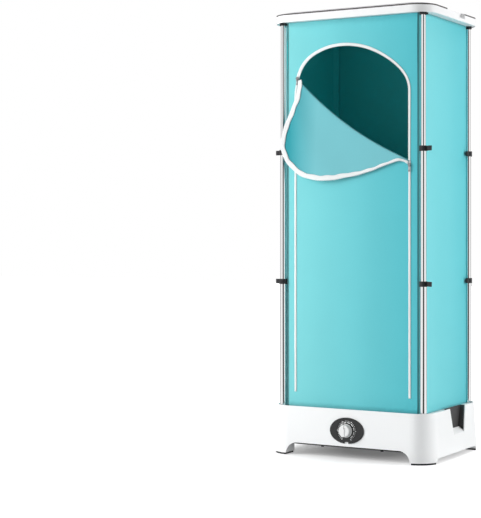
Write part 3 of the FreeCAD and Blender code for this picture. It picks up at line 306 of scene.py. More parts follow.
def rounded_loop(half_x, half_y, radius, count):
    """Closed outline of a rectangle with round corners, evenly stepped by its length.

    The outline is walked by arc length: four straight runs and four quarter arcs."""
    straight = np.array([2 * (half_y - radius), 2 * (half_x - radius)] * 2)
    arc = radius * math.pi / 2
    starts = np.concatenate([[0.0], np.cumsum(np.stack([straight, [arc] * 4], 1).ravel())])
    walk = np.linspace(0.0, starts[-1], count, endpoint=False)
    piece = np.clip(np.searchsorted(starts, walk, side="right") - 1, 0, 7)
    past = walk - starts[piece]
    corner = piece // 2
    turn = corner * math.pi / 2
    arc_turn = turn + np.where(piece % 2 == 1, past / radius, 0.0)
    sign_x = np.array([1, -1, -1, 1])[corner]
    sign_y = np.array([1, 1, -1, -1])[corner]
    x = sign_x * (half_x - radius) + radius * np.cos(arc_turn)
    y = sign_y * (half_y - radius) + radius * np.sin(arc_turn)
    back = np.where(piece % 2 == 0, straight[corner] - past, 0.0)
    return np.stack([x + back * np.sin(turn), y - back * np.cos(turn)], 1)


def skin_from_grid(name, points, uv=None, around=False):
    """Mesh of quads over a grid of points, rows by columns; around joins the last column
    to the first.  uv, the same shape by two, becomes the piece's own UV map."""
    rows, columns = points.shape[:2]
    index = np.arange(rows * columns).reshape(rows, columns)
    if around:
        index = np.concatenate([index, index[:, :1]], 1)
    quads = np.stack([index[:-1, :-1], index[:-1, 1:], index[1:, 1:], index[1:, :-1]], -1)
    mesh = bpy.data.meshes.new(name)
    mesh.from_pydata(points.reshape(-1, 3).tolist(), [], quads.reshape(-1, 4).tolist())
    if uv is not None:
        layer = mesh.uv_layers.new(name="cloth")
        layer.data.foreach_set("uv", uv.reshape(-1, 2)[quads.reshape(-1)].ravel())
    mesh.polygons.foreach_set("use_smooth", np.ones(len(mesh.polygons), bool))
    mesh.update()
    piece = bpy.data.objects.new(name, mesh)
    SCENE.collection.objects.link(piece)
    return piece


def crown_skin():
    """Dome height is rise * (1 - (1 - inset / level) ** 3.5) over nested round outlines; two
    flat faces close it above and below."""
    insets = np.concatenate([np.linspace(CROWN_FROM, CROWN_LEVEL, 15), [0.18, 0.222]])
    loops = []
    for inset in insets:
        half_x, half_y = CROWN_HALF[0] - inset, CROWN_HALF[1] - inset
        radius = min(CROWN_RADIUS - 0.2 * inset, half_y - 0.0005)
        height = CROWN_RISE * (1.0 - max(0.0, 1.0 - inset / CROWN_LEVEL) ** 3.5)
        loop = rounded_loop(half_x, half_y, radius, CROWN_AROUND)
        loops.append(np.column_stack([loop[:, 0], loop[:, 1] + SETBACK,
                                      np.full(CROWN_AROUND, CROWN_Z + height)]))
    piece = skin_from_grid("lid_crown", np.array(loops), around=True)
    mesh = bmesh.new()
    mesh.from_mesh(piece.data)
    points, sides = list(mesh.verts), len(mesh.faces)
    mesh.faces.new(points[-CROWN_AROUND:])
    mesh.faces.new(points[CROWN_AROUND - 1::-1])
    bmesh.ops.recalc_face_normals(mesh, faces=mesh.faces)
    mesh.to_mesh(piece.data)
    mesh.free()
    piece.data.polygons.foreach_set("use_smooth", np.arange(len(piece.data.polygons)) < sides)
    piece.data.materials.append(WHITE_SHELL)
    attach(piece, "lid")
    return piece


crown_skin()
dress(moulded("dark edging", (0.07, 0.06, 0.065), 0.55, grain=1500.0, depth=0.0001), "lid_trim")

# ---------------------------------------------------------------- telescopic poles
# Four poles of three chromed steel tubes each.  The chrome is bright with the faint
# lengthwise draw lines of the tube; black nylon clamps and sockets hold the ends.
CORNERS = ("fl", "fr", "rl", "rr")


def drawn_chrome(name, color, roughness):
    """Chrome over drawn tube: noise stretched along Z gives fine draw lines."""
    material = bpy.data.materials.new(name)
    material.use_nodes = True
    tree = material.node_tree
    shader = tree.nodes["Principled BSDF"]
    shader.inputs["Base Color"].default_value = (*color, 1.0)
    shader.inputs["Metallic"].default_value = 1.0
    place = tree.nodes.new("ShaderNodeTexCoord")
    stretch = tree.nodes.new("ShaderNodeMapping")
    stretch.inputs["Scale"].default_value = (700.0, 700.0, 3.0)
    lines = tree.nodes.new("ShaderNodeTexNoise")
    lines.inputs["Scale"].default_value = 1.0
    lines.inputs["Detail"].default_value = 2.0
    tree.links.new(place.outputs["Object"], stretch.inputs["Vector"])
    tree.links.new(stretch.outputs[0], lines.inputs["Vector"])
    spread = tree.nodes.new("ShaderNodeMapRange")
    spread.inputs["To Min"].default_value = roughness * 0.7
    spread.inputs["To Max"].default_value = roughness * 1.5
    tree.links.new(lines.outputs["Fac"], spread.inputs["Value"])
    tree.links.new(spread.outputs[0], shader.inputs["Roughness"])
    bump = tree.nodes.new("ShaderNodeBump")
    bump.inputs["Strength"].default_value = 0.25
    bump.inputs["Distance"].default_value = 0.00001
    tree.links.new(lines.outputs["Fac"], bump.inputs["Height"])
    tree.links.new(bump.outputs[0], shader.inputs["Normal"])
    return material


POLE_CHROME = drawn_chrome("pole chrome", (0.86, 0.865, 0.87), 0.07)
dress(POLE_CHROME, "lower_tubes", "upper_tubes", "hanging_rail",
      *["middle_tube_" + corner for corner in CORNERS])
BLACK_NYLON = moulded("black nylon", (0.018, 0.018, 0.02), 0.5, grain=1400.0, drift=0.3,
                      depth=0.00008)
dress(BLACK_NYLON, "lower_collars", "top_sockets", "rail_brackets", "outlet_grille",
      "bottom_pan", "timer_unit", "cord_gland",
      *[kind + corner for kind in ("upper_collar_", "lower_lever_", "upper_lever_")
        for corner in CORNERS])
dress(moulded("black cup", (0.045, 0.044, 0.045), 0.45, grain=900.0, drift=0.2), "grip_cup_left",
      "grip_cup_right")
dress(moulded("foot rubber", (0.012, 0.012, 0.013), 0.75, grain=700.0, drift=0.3,
              depth=0.0002), "foot_pads")

# ---------------------------------------------------------------- warm-air unit
# Under the deck: a galvanised duct with the motor, impeller, heater and cut-out.  All of it
# shows only through the grille and the intake slots.
dress(moulded("galvanised sheet", (0.5, 0.51, 0.52), 0.38, grain=60.0, drift=0.35,
              depth=0.00004, metallic=0.9), "fan_duct", "heater_frame")
dress(moulded("zinc steel", (0.55, 0.56, 0.57), 0.33, grain=500.0, drift=0.15, metallic=1.0),
      "motor_bracket", "fan_motor", "thermal_cutout", "pan_screws", "liner_screws",
      "timer_shaft")
dress(moulded("heater fins", (0.68, 0.69, 0.7), 0.42, grain=300.0, drift=0.2, metallic=0.95),
      "heater_core")
dress(moulded("impeller nylon", (0.05, 0.05, 0.055), 0.45, grain=800.0, drift=0.2), "fan_impeller")

# ---------------------------------------------------------------- fabric cover
# Coated woven polyester in light aqua, cut as front, back and two side panels that meet
# behind the poles.  It hangs from the lid, is hemmed top and bottom, and is held just taut.
COVER_X, COVER_Y = 0.251, 0.192
COVER_CUT = 0.01695         # corners drawn in behind the poles
COVER_Z, COVER_TOP = 0.1564, 1.4301
CLOTH_THICK = 0.0007
AQUA = (0.092, 0.525, 0.597)
# painted light: the cover cloth is painted this lighter aqua towards each panel's left edge
AQUA_PAINTED_LIGHT = (0.212, 0.65, 0.68)
AQUA_INSIDE = (0.04, 0.6, 0.62)
DOOR_HALF = 0.205
ARCH_TOP, ARCH_RISE = 1.3451, 0.163
SPRING_Z = ARCH_TOP - ARCH_RISE             # the doorway's half ellipse starts here
DOOR_Z = 0.2054             # lower ends of the zip
FOLD_LEFT_UP = 0.054        # the fold's left end lies this far up the half ellipse
FOLD_LEFT = np.array([-DOOR_HALF * math.sqrt(1.0 - (FOLD_LEFT_UP / ARCH_RISE) ** 2),
                      SPRING_Z + FOLD_LEFT_UP])
FOLD_RIGHT = np.array([DOOR_HALF, 0.9601])
FOLD_SAG = 0.026            # the fold's middle hangs this far under the line of its ends
FOLD_SPAN = float(np.linalg.norm(FOLD_RIGHT - FOLD_LEFT))
FOLD_WAY = (FOLD_RIGHT - FOLD_LEFT) / FOLD_SPAN
FOLD_DOWN = np.array([FOLD_WAY[1], -FOLD_WAY[0]])


def weave_group():
    """Plain weave from the UV map in metres: crossed sine threads give Height.  A painted light
    gradient (painted shade where Pale is darker) runs from Color to Pale between two places along
    U;
    the colour is uneven by slow noise and slubs, and painted shade darkens it outside two more
    places."""
    group = bpy.data.node_groups.new("plain weave", "ShaderNodeTree")
    face = group.interface
    for name, kind, start in (("Color", "NodeSocketColor", (0.5, 0.5, 0.5, 1.0)),
                              ("Pale", "NodeSocketColor", (0.5, 0.5, 0.5, 1.0)),
                              ("Painted Light At", "NodeSocketFloat", 0.0),
                              ("Full At", "NodeSocketFloat", 1.0),
                              ("Painted Shade Low", "NodeSocketFloat", -9.0),
                              ("Painted Shade High", "NodeSocketFloat", 9.0),
                              ("Pitch", "NodeSocketFloat", 0.0012),
                              ("Unevenness", "NodeSocketFloat", 0.05)):
        socket = face.new_socket(name, in_out="INPUT", socket_type=kind)
        socket.default_value = start
    face.new_socket("Color", in_out="OUTPUT", socket_type="NodeSocketColor")
    face.new_socket("Height", in_out="OUTPUT", socket_type="NodeSocketFloat")
    entry = group.nodes.new("NodeGroupInput")
    leave = group.nodes.new("NodeGroupOutput")
    place = group.nodes.new("ShaderNodeUVMap")
    place.uv_map = "cloth"
    parts = group.nodes.new("ShaderNodeSeparateXYZ")
    group.links.new(place.outputs[0], parts.inputs[0])
    along = parts.outputs[0]
    turns = calculate(group, "DIVIDE", 2 * math.pi, entry.outputs["Pitch"])
    warp = calculate(group, "SINE", calculate(group, "MULTIPLY", along, turns))
    weft = calculate(group, "SINE", calculate(group, "MULTIPLY", parts.outputs[1], turns))
    crossing = calculate(group, "ADD", calculate(group, "ABSOLUTE", warp),
                         calculate(group, "ABSOLUTE", weft))
    slub = group.nodes.new("ShaderNodeTexNoise")
    slub.inputs["Scale"].default_value = 220.0
    slub.inputs["Detail"].default_value = 3.0
    group.links.new(place.outputs[0], slub.inputs["Vector"])
    broad = group.nodes.new("ShaderNodeTexNoise")
    broad.inputs["Scale"].default_value = 5.0
    group.links.new(place.outputs[0], broad.inputs["Vector"])
    mixed = calculate(group, "ADD", calculate(group, "SUBTRACT", slub.outputs["Fac"], 0.5),
                      calculate(group, "SUBTRACT", broad.outputs["Fac"], 0.5))
    # painted light: the colour runs from Pale at one place along U to Color at the other
    fade = group.nodes.new("ShaderNodeMapRange")
    group.links.new(along, fade.inputs["Value"])
    group.links.new(entry.outputs["Painted Light At"], fade.inputs["From Min"])
    group.links.new(entry.outputs["Full At"], fade.inputs["From Max"])
    painted_light_mix = group.nodes.new("ShaderNodeMix")
    painted_light_mix.data_type = "RGBA"
    group.links.new(fade.outputs[0], painted_light_mix.inputs["Factor"])
    group.links.new(entry.outputs["Pale"], painted_light_mix.inputs["A"])
    group.links.new(entry.outputs["Color"], painted_light_mix.inputs["B"])
    # painted shade: U outside the two places, the panel's edges beside the poles, is made 60 %
    # darker
    painted_edge_shade = calculate(group, "ADD", calculate(group, "LESS_THAN", along, entry.outputs["Painted Shade Low"]),
                     calculate(group, "GREATER_THAN", along, entry.outputs["Painted Shade High"]))
    tone = group.nodes.new("ShaderNodeHueSaturation")
    group.links.new(painted_light_mix.outputs["Result"], tone.inputs["Color"])
    uneven = calculate(group, "ADD", 1.0,
                       calculate(group, "MULTIPLY", mixed, entry.outputs["Unevenness"]))
    group.links.new(calculate(group, "SUBTRACT", uneven, calculate(group, "MULTIPLY", painted_edge_shade, 0.6)),
                    tone.inputs["Value"])
    group.links.new(tone.outputs[0], leave.inputs["Color"])
    group.links.new(calculate(group, "ADD", calculate(group, "MULTIPLY", crossing, 0.5),
                              calculate(group, "MULTIPLY", slub.outputs["Fac"], 0.6)),
                    leave.inputs["Height"])
    return group


PLAIN_WEAVE = weave_group()


# The third and fourth arguments set a painted light gradient along U (painted shade for the door
# cloth); the fifth sets the places outside which painted shade darkens the edges.
def woven(name, color, pale=None, fade=(0.0, 1.0), painted_shade_places=(-9.0, 9.0), roughness=0.62,
          sheen=0.25, pitch=0.0012):
    """Cloth finish: the weave group's colour and bump on one Principled shader."""
    material = bpy.data.materials.new(name)
    material.use_nodes = True
    tree = material.node_tree
    shader = tree.nodes["Principled BSDF"]
    shader.inputs["Roughness"].default_value = roughness
    shader.inputs["Sheen Weight"].default_value = sheen
    shader.inputs["Sheen Roughness"].default_value = 0.45
    shader.inputs["Specular IOR Level"].default_value = 0.3
    weave = tree.nodes.new("ShaderNodeGroup")
    weave.node_tree = PLAIN_WEAVE
    weave.inputs["Color"].default_value = (*color, 1.0)
    weave.inputs["Pale"].default_value = (*(pale or color), 1.0)
    weave.inputs["Painted Light At"].default_value, weave.inputs["Full At"].default_value = fade
    weave.inputs["Painted Shade Low"].default_value, weave.inputs["Painted Shade High"].default_value = painted_shade_places
    weave.inputs["Pitch"].default_value = pitch
    bump = tree.nodes.new("ShaderNodeBump")
    bump.inputs["Strength"].default_value = 0.6
    bump.inputs["Distance"].default_value = 0.00012
    tree.links.new(weave.outputs["Height"], bump.inputs["Height"])
    tree.links.new(bump.outputs[0], shader.inputs["Normal"])
    tree.links.new(weave.outputs["Color"], shader.inputs["Base Color"])
    return material


PAINTED_SHADE_WIDTH = 0.0035               # width of the painted shade along each panel's edge beside the poles
FLAT_HALF = COVER_X - COVER_CUT
SIDE_RUN = 2 * (COVER_Y - COVER_CUT) + 2 * math.hypot(COVER_CUT, COVER_CUT)
# painted light: lighter towards each panel's left edge; painted shade along both edges beside the
# poles
COVER_CLOTH = woven("aqua cover cloth", AQUA, AQUA_PAINTED_LIGHT, (-FLAT_HALF, FLAT_HALF),
                    (PAINTED_SHADE_WIDTH - FLAT_HALF, FLAT_HALF - PAINTED_SHADE_WIDTH))
# painted light: lighter at the side panel's front edge, darker to the rear; painted shade along
# both edges beside the poles
SIDE_CLOTH = woven("aqua side cloth", (0.065, 0.495, 0.56), (0.175, 0.665, 0.715), (0.0, SIDE_RUN),
                   (PAINTED_SHADE_WIDTH, SIDE_RUN - PAINTED_SHADE_WIDTH))
LINING_CLOTH = woven("aqua cloth, coated side", AQUA_INSIDE, roughness=0.5, sheen=0.05)


def make_cloth(piece, outside=COVER_CLOTH, inside=LINING_CLOTH):
    """Give a sheet its thickness inwards, its two faces, its ride with the base and a mesh of its
    own.
    """
    for material in (outside, inside):
        piece.data.materials.append(material)
    wall = piece.modifiers.new("thickness", "SOLIDIFY")
    wall.thickness = CLOTH_THICK
    wall.offset = -1.0
    wall.material_offset = 1
    wall.material_offset_rim = 0
    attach(piece, "base")
    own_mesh(piece)
    return piece


def hem_pucker(z):
    """Small ripples that fade away from the top and bottom hems."""
    return np.exp(-(z - COVER_Z) / 0.03) + np.exp(-(COVER_TOP - z) / 0.03)


def front_stand(x, z):
    """How far the front cloth stands forward of its plane: a slight swell between the
    poles, long soft draws up and down, and fine pucker along the hems."""
    across = np.clip(1.0 - (x / FLAT_HALF) ** 2, 0.0, 1.0)
    up = np.clip((z - COVER_Z) / (COVER_TOP - COVER_Z), 0.0, 1.0)
    swell = 0.0050 * across * np.sin(math.pi * up) ** 0.6
    draws = 0.0007 * across * (np.sin(21.0 * x + 1.7 * z) + 0.6 * np.sin(37.0 * x - 2.3 * z + 1.0))
    pucker = 0.0003 * np.sin(2 * math.pi * x / 0.021) * hem_pucker(z)
    return swell + draws + pucker


def smooth_step(t):
    """0 below 0, 1 above 1, and t * t * (3 - 2 t) between."""
    t = np.clip(t, 0.0, 1.0)
    return t * t * (3.0 - 2.0 * t)


def pulled_left(x, z):
    """X after the loose doorway has drifted left: most along the arch's top, none at the
    panel's edges."""
    held = np.sqrt(np.clip(1.0 - (x / FLAT_HALF) ** 2, 0.0, 1.0))
    return x - 0.030 * held * smooth_step((z - 1.2) / 0.12) * smooth_step((1.425 - z) / 0.065)


def fold_sag(along):
    """How far the fold hangs under the line of its ends, one shallow arc: 4 s (1 - s)."""
    share = np.clip(along / FOLD_SPAN, 0.0, 1.0)
    return 4.0 * FOLD_SAG * share * (1.0 - share)


def opening_radius(angle, centre):
    """Distance from a centre to the edge of the open doorway along each angle.

    Upward the edge is the half ellipse or an upright side; downward it is the fold, read
    off its own points by their angles."""
    way = np.stack([np.cos(angle), np.sin(angle)], -1)
    along = np.linspace(0.0, FOLD_SPAN, 400)
    fold = (FOLD_LEFT + along[:, None] * FOLD_WAY + fold_sag(along)[:, None] * FOLD_DOWN) - centre
    turned = np.unwrap(np.arctan2(fold[:, 1], fold[:, 0])) % (2 * math.pi)
    at = angle % (2 * math.pi)
    to_fold = np.interp(at, turned, np.linalg.norm(fold, axis=1), left=9.0, right=9.0)
    to_side = (np.sign(way[:, 0]) * DOOR_HALF - centre[0]) / np.where(
        np.abs(way[:, 0]) < 1e-9, 1e-9, way[:, 0])
    scaled = way / np.array([DOOR_HALF, ARCH_RISE])
    start = (centre - np.array([0.0, SPRING_Z])) / np.array([DOOR_HALF, ARCH_RISE])
    a = (scaled ** 2).sum(1)
    b = scaled @ start
    c = (start ** 2).sum() - 1.0
    to_arch = (-b + np.sqrt(np.maximum(b * b - a * c, 0.0))) / a
    above = centre[1] + to_side * way[:, 1] < SPRING_Z
    return np.minimum(np.where(above, to_side, to_arch), to_fold)


DOORWAY_CENTRE = np.array([0.045, 1.2])     # the front panel's rays start from here


def front_cloth():
    """Rays from the doorway's middle: each runs from the doorway's edge to the panel's.
    They lie closer together downward, where the panel is longest, and one meets each
    corner of the panel and each end of the fold."""
    half = FLAT_HALF
    box = np.array([[half, COVER_Z], [half, COVER_TOP], [-half, COVER_TOP], [-half, COVER_Z]])
    special = np.concatenate([box, [FOLD_LEFT, FOLD_RIGHT]]) - DOORWAY_CENTRE
    spread = np.linspace(-math.pi, math.pi, 361)[:-1]
    downward = np.linspace(-1.85, -1.25, 120)
    angle = np.unique(np.round(np.concatenate(
        [spread, downward, np.arctan2(special[:, 1], special[:, 0])]), 6))
    way = np.stack([np.cos(angle), np.sin(angle)], -1)
    safe = np.where(np.abs(way) < 1e-9, 1e-9, way)
    far_x = (np.sign(safe[:, 0]) * half - DOORWAY_CENTRE[0]) / safe[:, 0]
    far_z = (np.where(safe[:, 1] > 0, COVER_TOP, COVER_Z) - DOORWAY_CENTRE[1]) / safe[:, 1]
    outer = np.minimum(far_x, far_z)
    inner = opening_radius(angle, DOORWAY_CENTRE)
    share = np.linspace(0.0, 1.0, 61) ** 1.25
    reach = inner[None] + share[:, None] * (outer - inner)[None]
    x = DOORWAY_CENTRE[0] + reach * way[None, :, 0]
    z = DOORWAY_CENTRE[1] + reach * way[None, :, 1]
    opened = 0.5 * np.sum(inner ** 2 * np.gradient(angle))
    x = pulled_left(x, z)
    y = -COVER_Y - front_stand(x, z) + SETBACK
    piece = skin_from_grid("cover_front_cloth", np.stack([x, y, z], -1)[:, ::-1],
                           np.stack([x, z], -1)[:, ::-1], around=True)
    return make_cloth(piece), 2 * half * (COVER_TOP - COVER_Z) - opened


def side_cloth(side):
    """Side panel along its outline, from the front chamfer round to the rear chamfer, with
    the same swell, draws and pucker as the front, all smaller."""
    near, end = COVER_X - COVER_CUT, COVER_Y - COVER_CUT
    flat = np.linspace(-end, end, 60)
    path = np.concatenate([np.linspace([near, -COVER_Y], [COVER_X, -end], 5)[:-1],
                           np.column_stack([np.full(60, COVER_X), flat]),
                           np.linspace([COVER_X, end], [near, COVER_Y], 5)[1:]])
    run = np.concatenate([[0.0], np.cumsum(np.linalg.norm(np.diff(path, axis=0), axis=1))])
    z = np.linspace(COVER_Z, COVER_TOP, 140)
    grid_z = np.repeat(z[:, None], len(path), 1)
    across = np.clip(1.0 - (path[:, 1] / end) ** 2, 0.0, 1.0)[None]
    up = (grid_z - COVER_Z) / (COVER_TOP - COVER_Z)
    stand = 0.0018 * across * np.sin(math.pi * up) ** 0.6
    stand += 0.0006 * across * np.sin(24.0 * path[None, :, 1] + 2.0 * grid_z + side)
    stand += 0.0003 * across * np.sin(2 * math.pi * path[None, :, 1] / 0.02) * hem_pucker(grid_z)
    x = side * (path[None, :, 0] + stand)
    y = np.repeat(path[None, :, 1], len(z), 0) + SETBACK
    points = np.stack([x, y, grid_z], -1)
    uv = np.stack([np.repeat(run[None], len(z), 0), grid_z], -1)
    if side < 0:
        points, uv = points[:, ::-1], uv[:, ::-1]
    piece = skin_from_grid("cover_side_" + ("right" if side > 0 else "left"), points, uv)
    return make_cloth(piece, SIDE_CLOTH), run[-1]


def back_cloth():
    """Rear panel, a plain rectangle with the same slight swell."""
    half = FLAT_HALF
    x, z = np.meshgrid(np.linspace(half, -half, 90), np.linspace(COVER_Z, COVER_TOP, 140))
    across = 1.0 - (x / half) ** 2
    up = (z - COVER_Z) / (COVER_TOP - COVER_Z)
    stand = 0.002 * across * np.sin(math.pi * up) ** 0.6
    stand += 0.0006 * across * np.sin(26.0 * x + 1.5 * z)
    stand += 0.0003 * across * np.sin(2 * math.pi * x / 0.02) * hem_pucker(z)
    y = COVER_Y + stand + SETBACK
    piece = skin_from_grid("cover_back_cloth", np.stack([x, y, z], -1), np.stack([x, z], -1))
    return make_cloth(piece)


# ---------------------------------------------------------------- folded part of the door
# The door's upper part is unzipped and turned outwards over a slanting fold.  It shows its
# coated side, hangs off the closed part in one loose curve, and carries half the zip round
# its free edge.
# The free edge: share of the way along the fold, and millimetres below it.
FREE_EDGE = np.array([(0.0, 0.0), (0.027, 14.0), (0.055, 43.0), (0.08, 88.0), (0.108, 152.0),
                      (0.138, 191.0), (0.18, 217.0), (0.25, 239.0), (0.34, 247.5), (0.43, 244.0),
                      (0.54, 221.0), (0.657, 176.0), (0.763, 124.0), (0.858, 66.0), (0.9, 36.0),
                      (0.943, 15.0), (0.975, 9.0), (1.0, 8.0)])
FLAP_TAPE = 0.0135
ROLL = 0.0045               # radius of the cloth's turn over the fold
# painted shade: the door cloth is painted darker at its left, toward the fold's upper end
FLAP_CLOTH = woven("aqua door cloth, coated side", (0.182, 0.53, 0.585), (0.03, 0.33, 0.385),
                   (-0.22, -0.12), roughness=0.5, sheen=0.1)


def smooth_through(knots, count):
    """Curve through 2-D knots, evenly stepped by length: cubic Hermite pieces whose
    slopes are taken from each knot's neighbours."""
    steps = np.linalg.norm(np.diff(knots, axis=0), axis=1) ** 0.5
    t = np.concatenate([[0.0], np.cumsum(steps)])
    slope = np.gradient(knots, t, axis=0)
    fine = np.linspace(0.0, t[-1], 1500)
    k = np.clip(np.searchsorted(t, fine, side="right") - 1, 0, len(t) - 2)
    gap = (t[k + 1] - t[k])[:, None]
    s = ((fine - t[k])[:, None]) / gap
    curve = ((2 * s ** 3 - 3 * s ** 2 + 1) * knots[k] + (s ** 3 - 2 * s ** 2 + s) * gap * slope[k]
             + (3 * s ** 2 - 2 * s ** 3) * knots[k + 1] + (s ** 3 - s ** 2) * gap * slope[k + 1])
    run = np.concatenate([[0.0], np.cumsum(np.linalg.norm(np.diff(curve, axis=0), axis=1))])
    even = np.linspace(0.0, run[-1], count)
    return np.column_stack([np.interp(even, run, curve[:, 0]), np.interp(even, run, curve[:, 1])])


def flap_forward(along, below):
    """Distance in front of the cover: round the roll first, then a slow slope forward,
    with shallow draws that fan from the fold's left end."""
    below = np.maximum(below - fold_sag(along), 0.0)
    stand = np.interp(below, [0.0, 0.06, 0.15, 0.25], [2 * ROLL, 0.0125, 0.0195, 0.0255])
    draws = 0.0022 * np.sin(3.0 + 9.0 * np.arctan2(below, along + 0.04)) * np.clip(
        below / 0.16, 0.0, 1.0) ** 1.3
    ends = np.clip(np.minimum(along, FOLD_SPAN - along) / 0.03, 0.0, 1.0)
    return (stand + draws) * (0.35 + 0.65 * ends)


def free_edge(count):
    """The folded part's outer edge, with the small waves of a loose zip."""
    line = smooth_through(FREE_EDGE * np.array([FOLD_SPAN, 0.001]), count)
    ahead = np.gradient(line, axis=0)
    ahead /= np.linalg.norm(ahead, axis=1)[:, None]
    run = np.concatenate([[0.0], np.cumsum(np.linalg.norm(np.diff(line, axis=0), axis=1))])
    wave = 0.0010 * np.sin(2 * math.pi * run / 0.083) * np.sin(2 * math.pi * run / 0.31 + 0.6)
    wave *= np.clip(np.minimum(run, run[-1] - run) / 0.05, 0.0, 1.0)
    return line + wave[:, None] * np.column_stack([-ahead[:, 1], ahead[:, 0]])


def flap_place(along, below, lift=0.0):
    """Point on the folded part from its distances along and below the fold."""
    x = FOLD_LEFT[0] + along * FOLD_WAY[0] + below * FOLD_DOWN[0]
    z = FOLD_LEFT[1] + along * FOLD_WAY[1] + below * FOLD_DOWN[1]
    y = -COVER_Y - flap_forward(along, below) - lift + SETBACK
    return np.stack([x, y, z], -1)


def flap_cloth():
    """Grid from the fold to the free edge, started by a half-round roll at the fold.  Its
    area is the edge's, plus the roll's, less the parabola that the fold's sag cuts off."""
    edge = free_edge(150)
    along = np.linspace(0.0, FOLD_SPAN, 150)
    start = np.column_stack([along, fold_sag(along)])
    share = np.linspace(0.0, 1.0, 50)[:, None, None]
    grid = start[None] * (1 - share) + edge[None] * share
    face = flap_place(grid[..., 0], grid[..., 1])
    turn = np.linspace(math.pi, 0.0, 9)[:-1][:, None]
    depth = flap_forward(start[:, 0], start[:, 1])[None] / 2
    back = flap_place(start[None, :, 0], start[None, :, 1] - np.sin(turn) * depth)
    back[..., 1] = -COVER_Y + SETBACK - depth * (1 - np.cos(math.pi - turn))
    points = np.concatenate([back, face])
    uv = points[..., [0, 2]]
    piece = skin_from_grid("door_flap_cloth", points[:, ::-1], uv[:, ::-1])
    make_cloth(piece, FLAP_CLOTH, COVER_CLOTH)
    ahead = edge[1:]
    area = 0.5 * abs(float(np.sum(edge[:-1, 0] * ahead[:, 1] - ahead[:, 0] * edge[:-1, 1])))
    return piece, area + (math.pi * ROLL - 2.0 / 3.0 * FOLD_SAG) * FOLD_SPAN


# ---------------------------------------------------------------- zip
# One long white zip: woven tape with a nylon coil.  Closed it is a narrow line down each
# side of the door; open, one half borders the doorway and the other the folded part.
TAPE_WHITE = (0.84, 0.86, 0.86)
ARCH_TAPE, CLOSED_TAPE = 0.0080, 0.0074     # widths; the folded part's is FLAP_TAPE
TAPE_THICK = 0.0006
TOOTH = (0.0011, 0.0024, 0.0011)            # along, across and out from the tape
TOOTH_PITCH = 0.0024
ZIP_TAPE = woven("white zip tape", TAPE_WHITE, roughness=0.6, sheen=0.15, pitch=0.0011)
COIL_WHITE = moulded("zip coil", (0.88, 0.89, 0.89), 0.35, grain=2500.0, drift=0.05)


def finish_tape(piece):
    """Give a tape its cloth and thickness, its ride with the base and a mesh of its own."""
    piece.data.materials.append(ZIP_TAPE)
    wall = piece.modifiers.new("thickness", "SOLIDIFY")
    wall.thickness = TAPE_THICK
    wall.offset = -1.0
    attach(piece, "base")
    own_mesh(piece)
    return piece


def tape_along(name, centre, width, place):
    """Band along a 2-D line, of one width or one for each point; place(points) lifts it
    onto the surface."""
    ahead = np.gradient(centre, axis=0)
    ahead /= np.linalg.norm(ahead, axis=1)[:, None]
    side = np.column_stack([-ahead[:, 1], ahead[:, 0]])
    width = np.broadcast_to(width, len(centre))
    across = np.linspace(-0.5, 0.5, 6)[:, None, None] * width[None, :, None]
    flat = centre[None] + across * side[None]
    run = np.concatenate([[0.0], np.cumsum(np.linalg.norm(np.diff(centre, axis=0), axis=1))])
    uv = np.stack([np.repeat(run[None], 6, 0),
                   np.linspace(0.0, 1.0, 6)[:, None] * width[None]], -1)
    return skin_from_grid(name, place(flat), uv)


def coil_along(name, line, normal):
    """Row of small coil teeth: one six-sided block per pitch, set across a 3-D line."""
    run = np.concatenate([[0.0], np.cumsum(np.linalg.norm(np.diff(line, axis=0), axis=1))])
    at = np.arange(TOOTH_PITCH / 2, run[-1], TOOTH_PITCH)
    centre = np.stack([np.interp(at, run, line[:, k]) for k in range(3)], -1)
    ahead = np.gradient(centre, axis=0)
    ahead /= np.linalg.norm(ahead, axis=1)[:, None]
    out = np.broadcast_to(np.array(normal, float), ahead.shape)
    cross = np.cross(ahead, out)
    corners = np.array([(a, b, c) for c in (-0.5, 0.5) for b in (-0.5, 0.5) for a in (-0.5, 0.5)])
    corners[4:, :2] *= 0.7
    points = (centre[:, None] + corners[None, :, :1] * TOOTH[0] * ahead[:, None]
              + corners[None, :, 1:2] * TOOTH[1] * cross[:, None]
              + corners[None, :, 2:] * TOOTH[2] * out[:, None])
    block = np.array([(0, 1, 3, 2), (4, 6, 7, 5), (0, 4, 5, 1), (2, 3, 7, 6), (0, 2, 6, 4),
                      (1, 5, 7, 3)])
    faces = (np.arange(len(at))[:, None, None] * 8 + block[None]).reshape(-1, 4)
    mesh = bpy.data.meshes.new(name)
    mesh.from_pydata(points.reshape(-1, 3).tolist(), [], faces.tolist())
    shape = bmesh.new()
    shape.from_mesh(mesh)
    bmesh.ops.recalc_face_normals(shape, faces=shape.faces)
    shape.to_mesh(mesh)
    shape.free()
    piece = bpy.data.objects.new(name, mesh)
    SCENE.collection.objects.link(piece)
    piece.data.materials.append(COIL_WHITE)
    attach(piece, "base")
    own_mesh(piece)
    return piece


def on_front(flat, lift=0.0014):
    """Lay a 2-D pattern on the front cloth."""
    x, z = pulled_left(flat[..., 0], flat[..., 1]), flat[..., 1]
    return np.stack([x, -COVER_Y - front_stand(x, z) - lift + SETBACK, z], -1)


def doorway_line(inset):
    """Edge of the open doorway from the fold's right end over the arch to its left end."""
    half, rise = DOOR_HALF + inset, ARCH_RISE + inset
    stop = math.pi - math.asin((FOLD_LEFT[1] - SPRING_Z) / rise)
    turn = np.linspace(0.0, stop, 130)
    arch = np.column_stack([half * np.cos(turn), SPRING_Z + rise * np.sin(turn)])
    upright = np.column_stack([np.full(40, half), np.linspace(FOLD_RIGHT[1], SPRING_Z, 41)[:-1]])
    return np.concatenate([upright, arch])


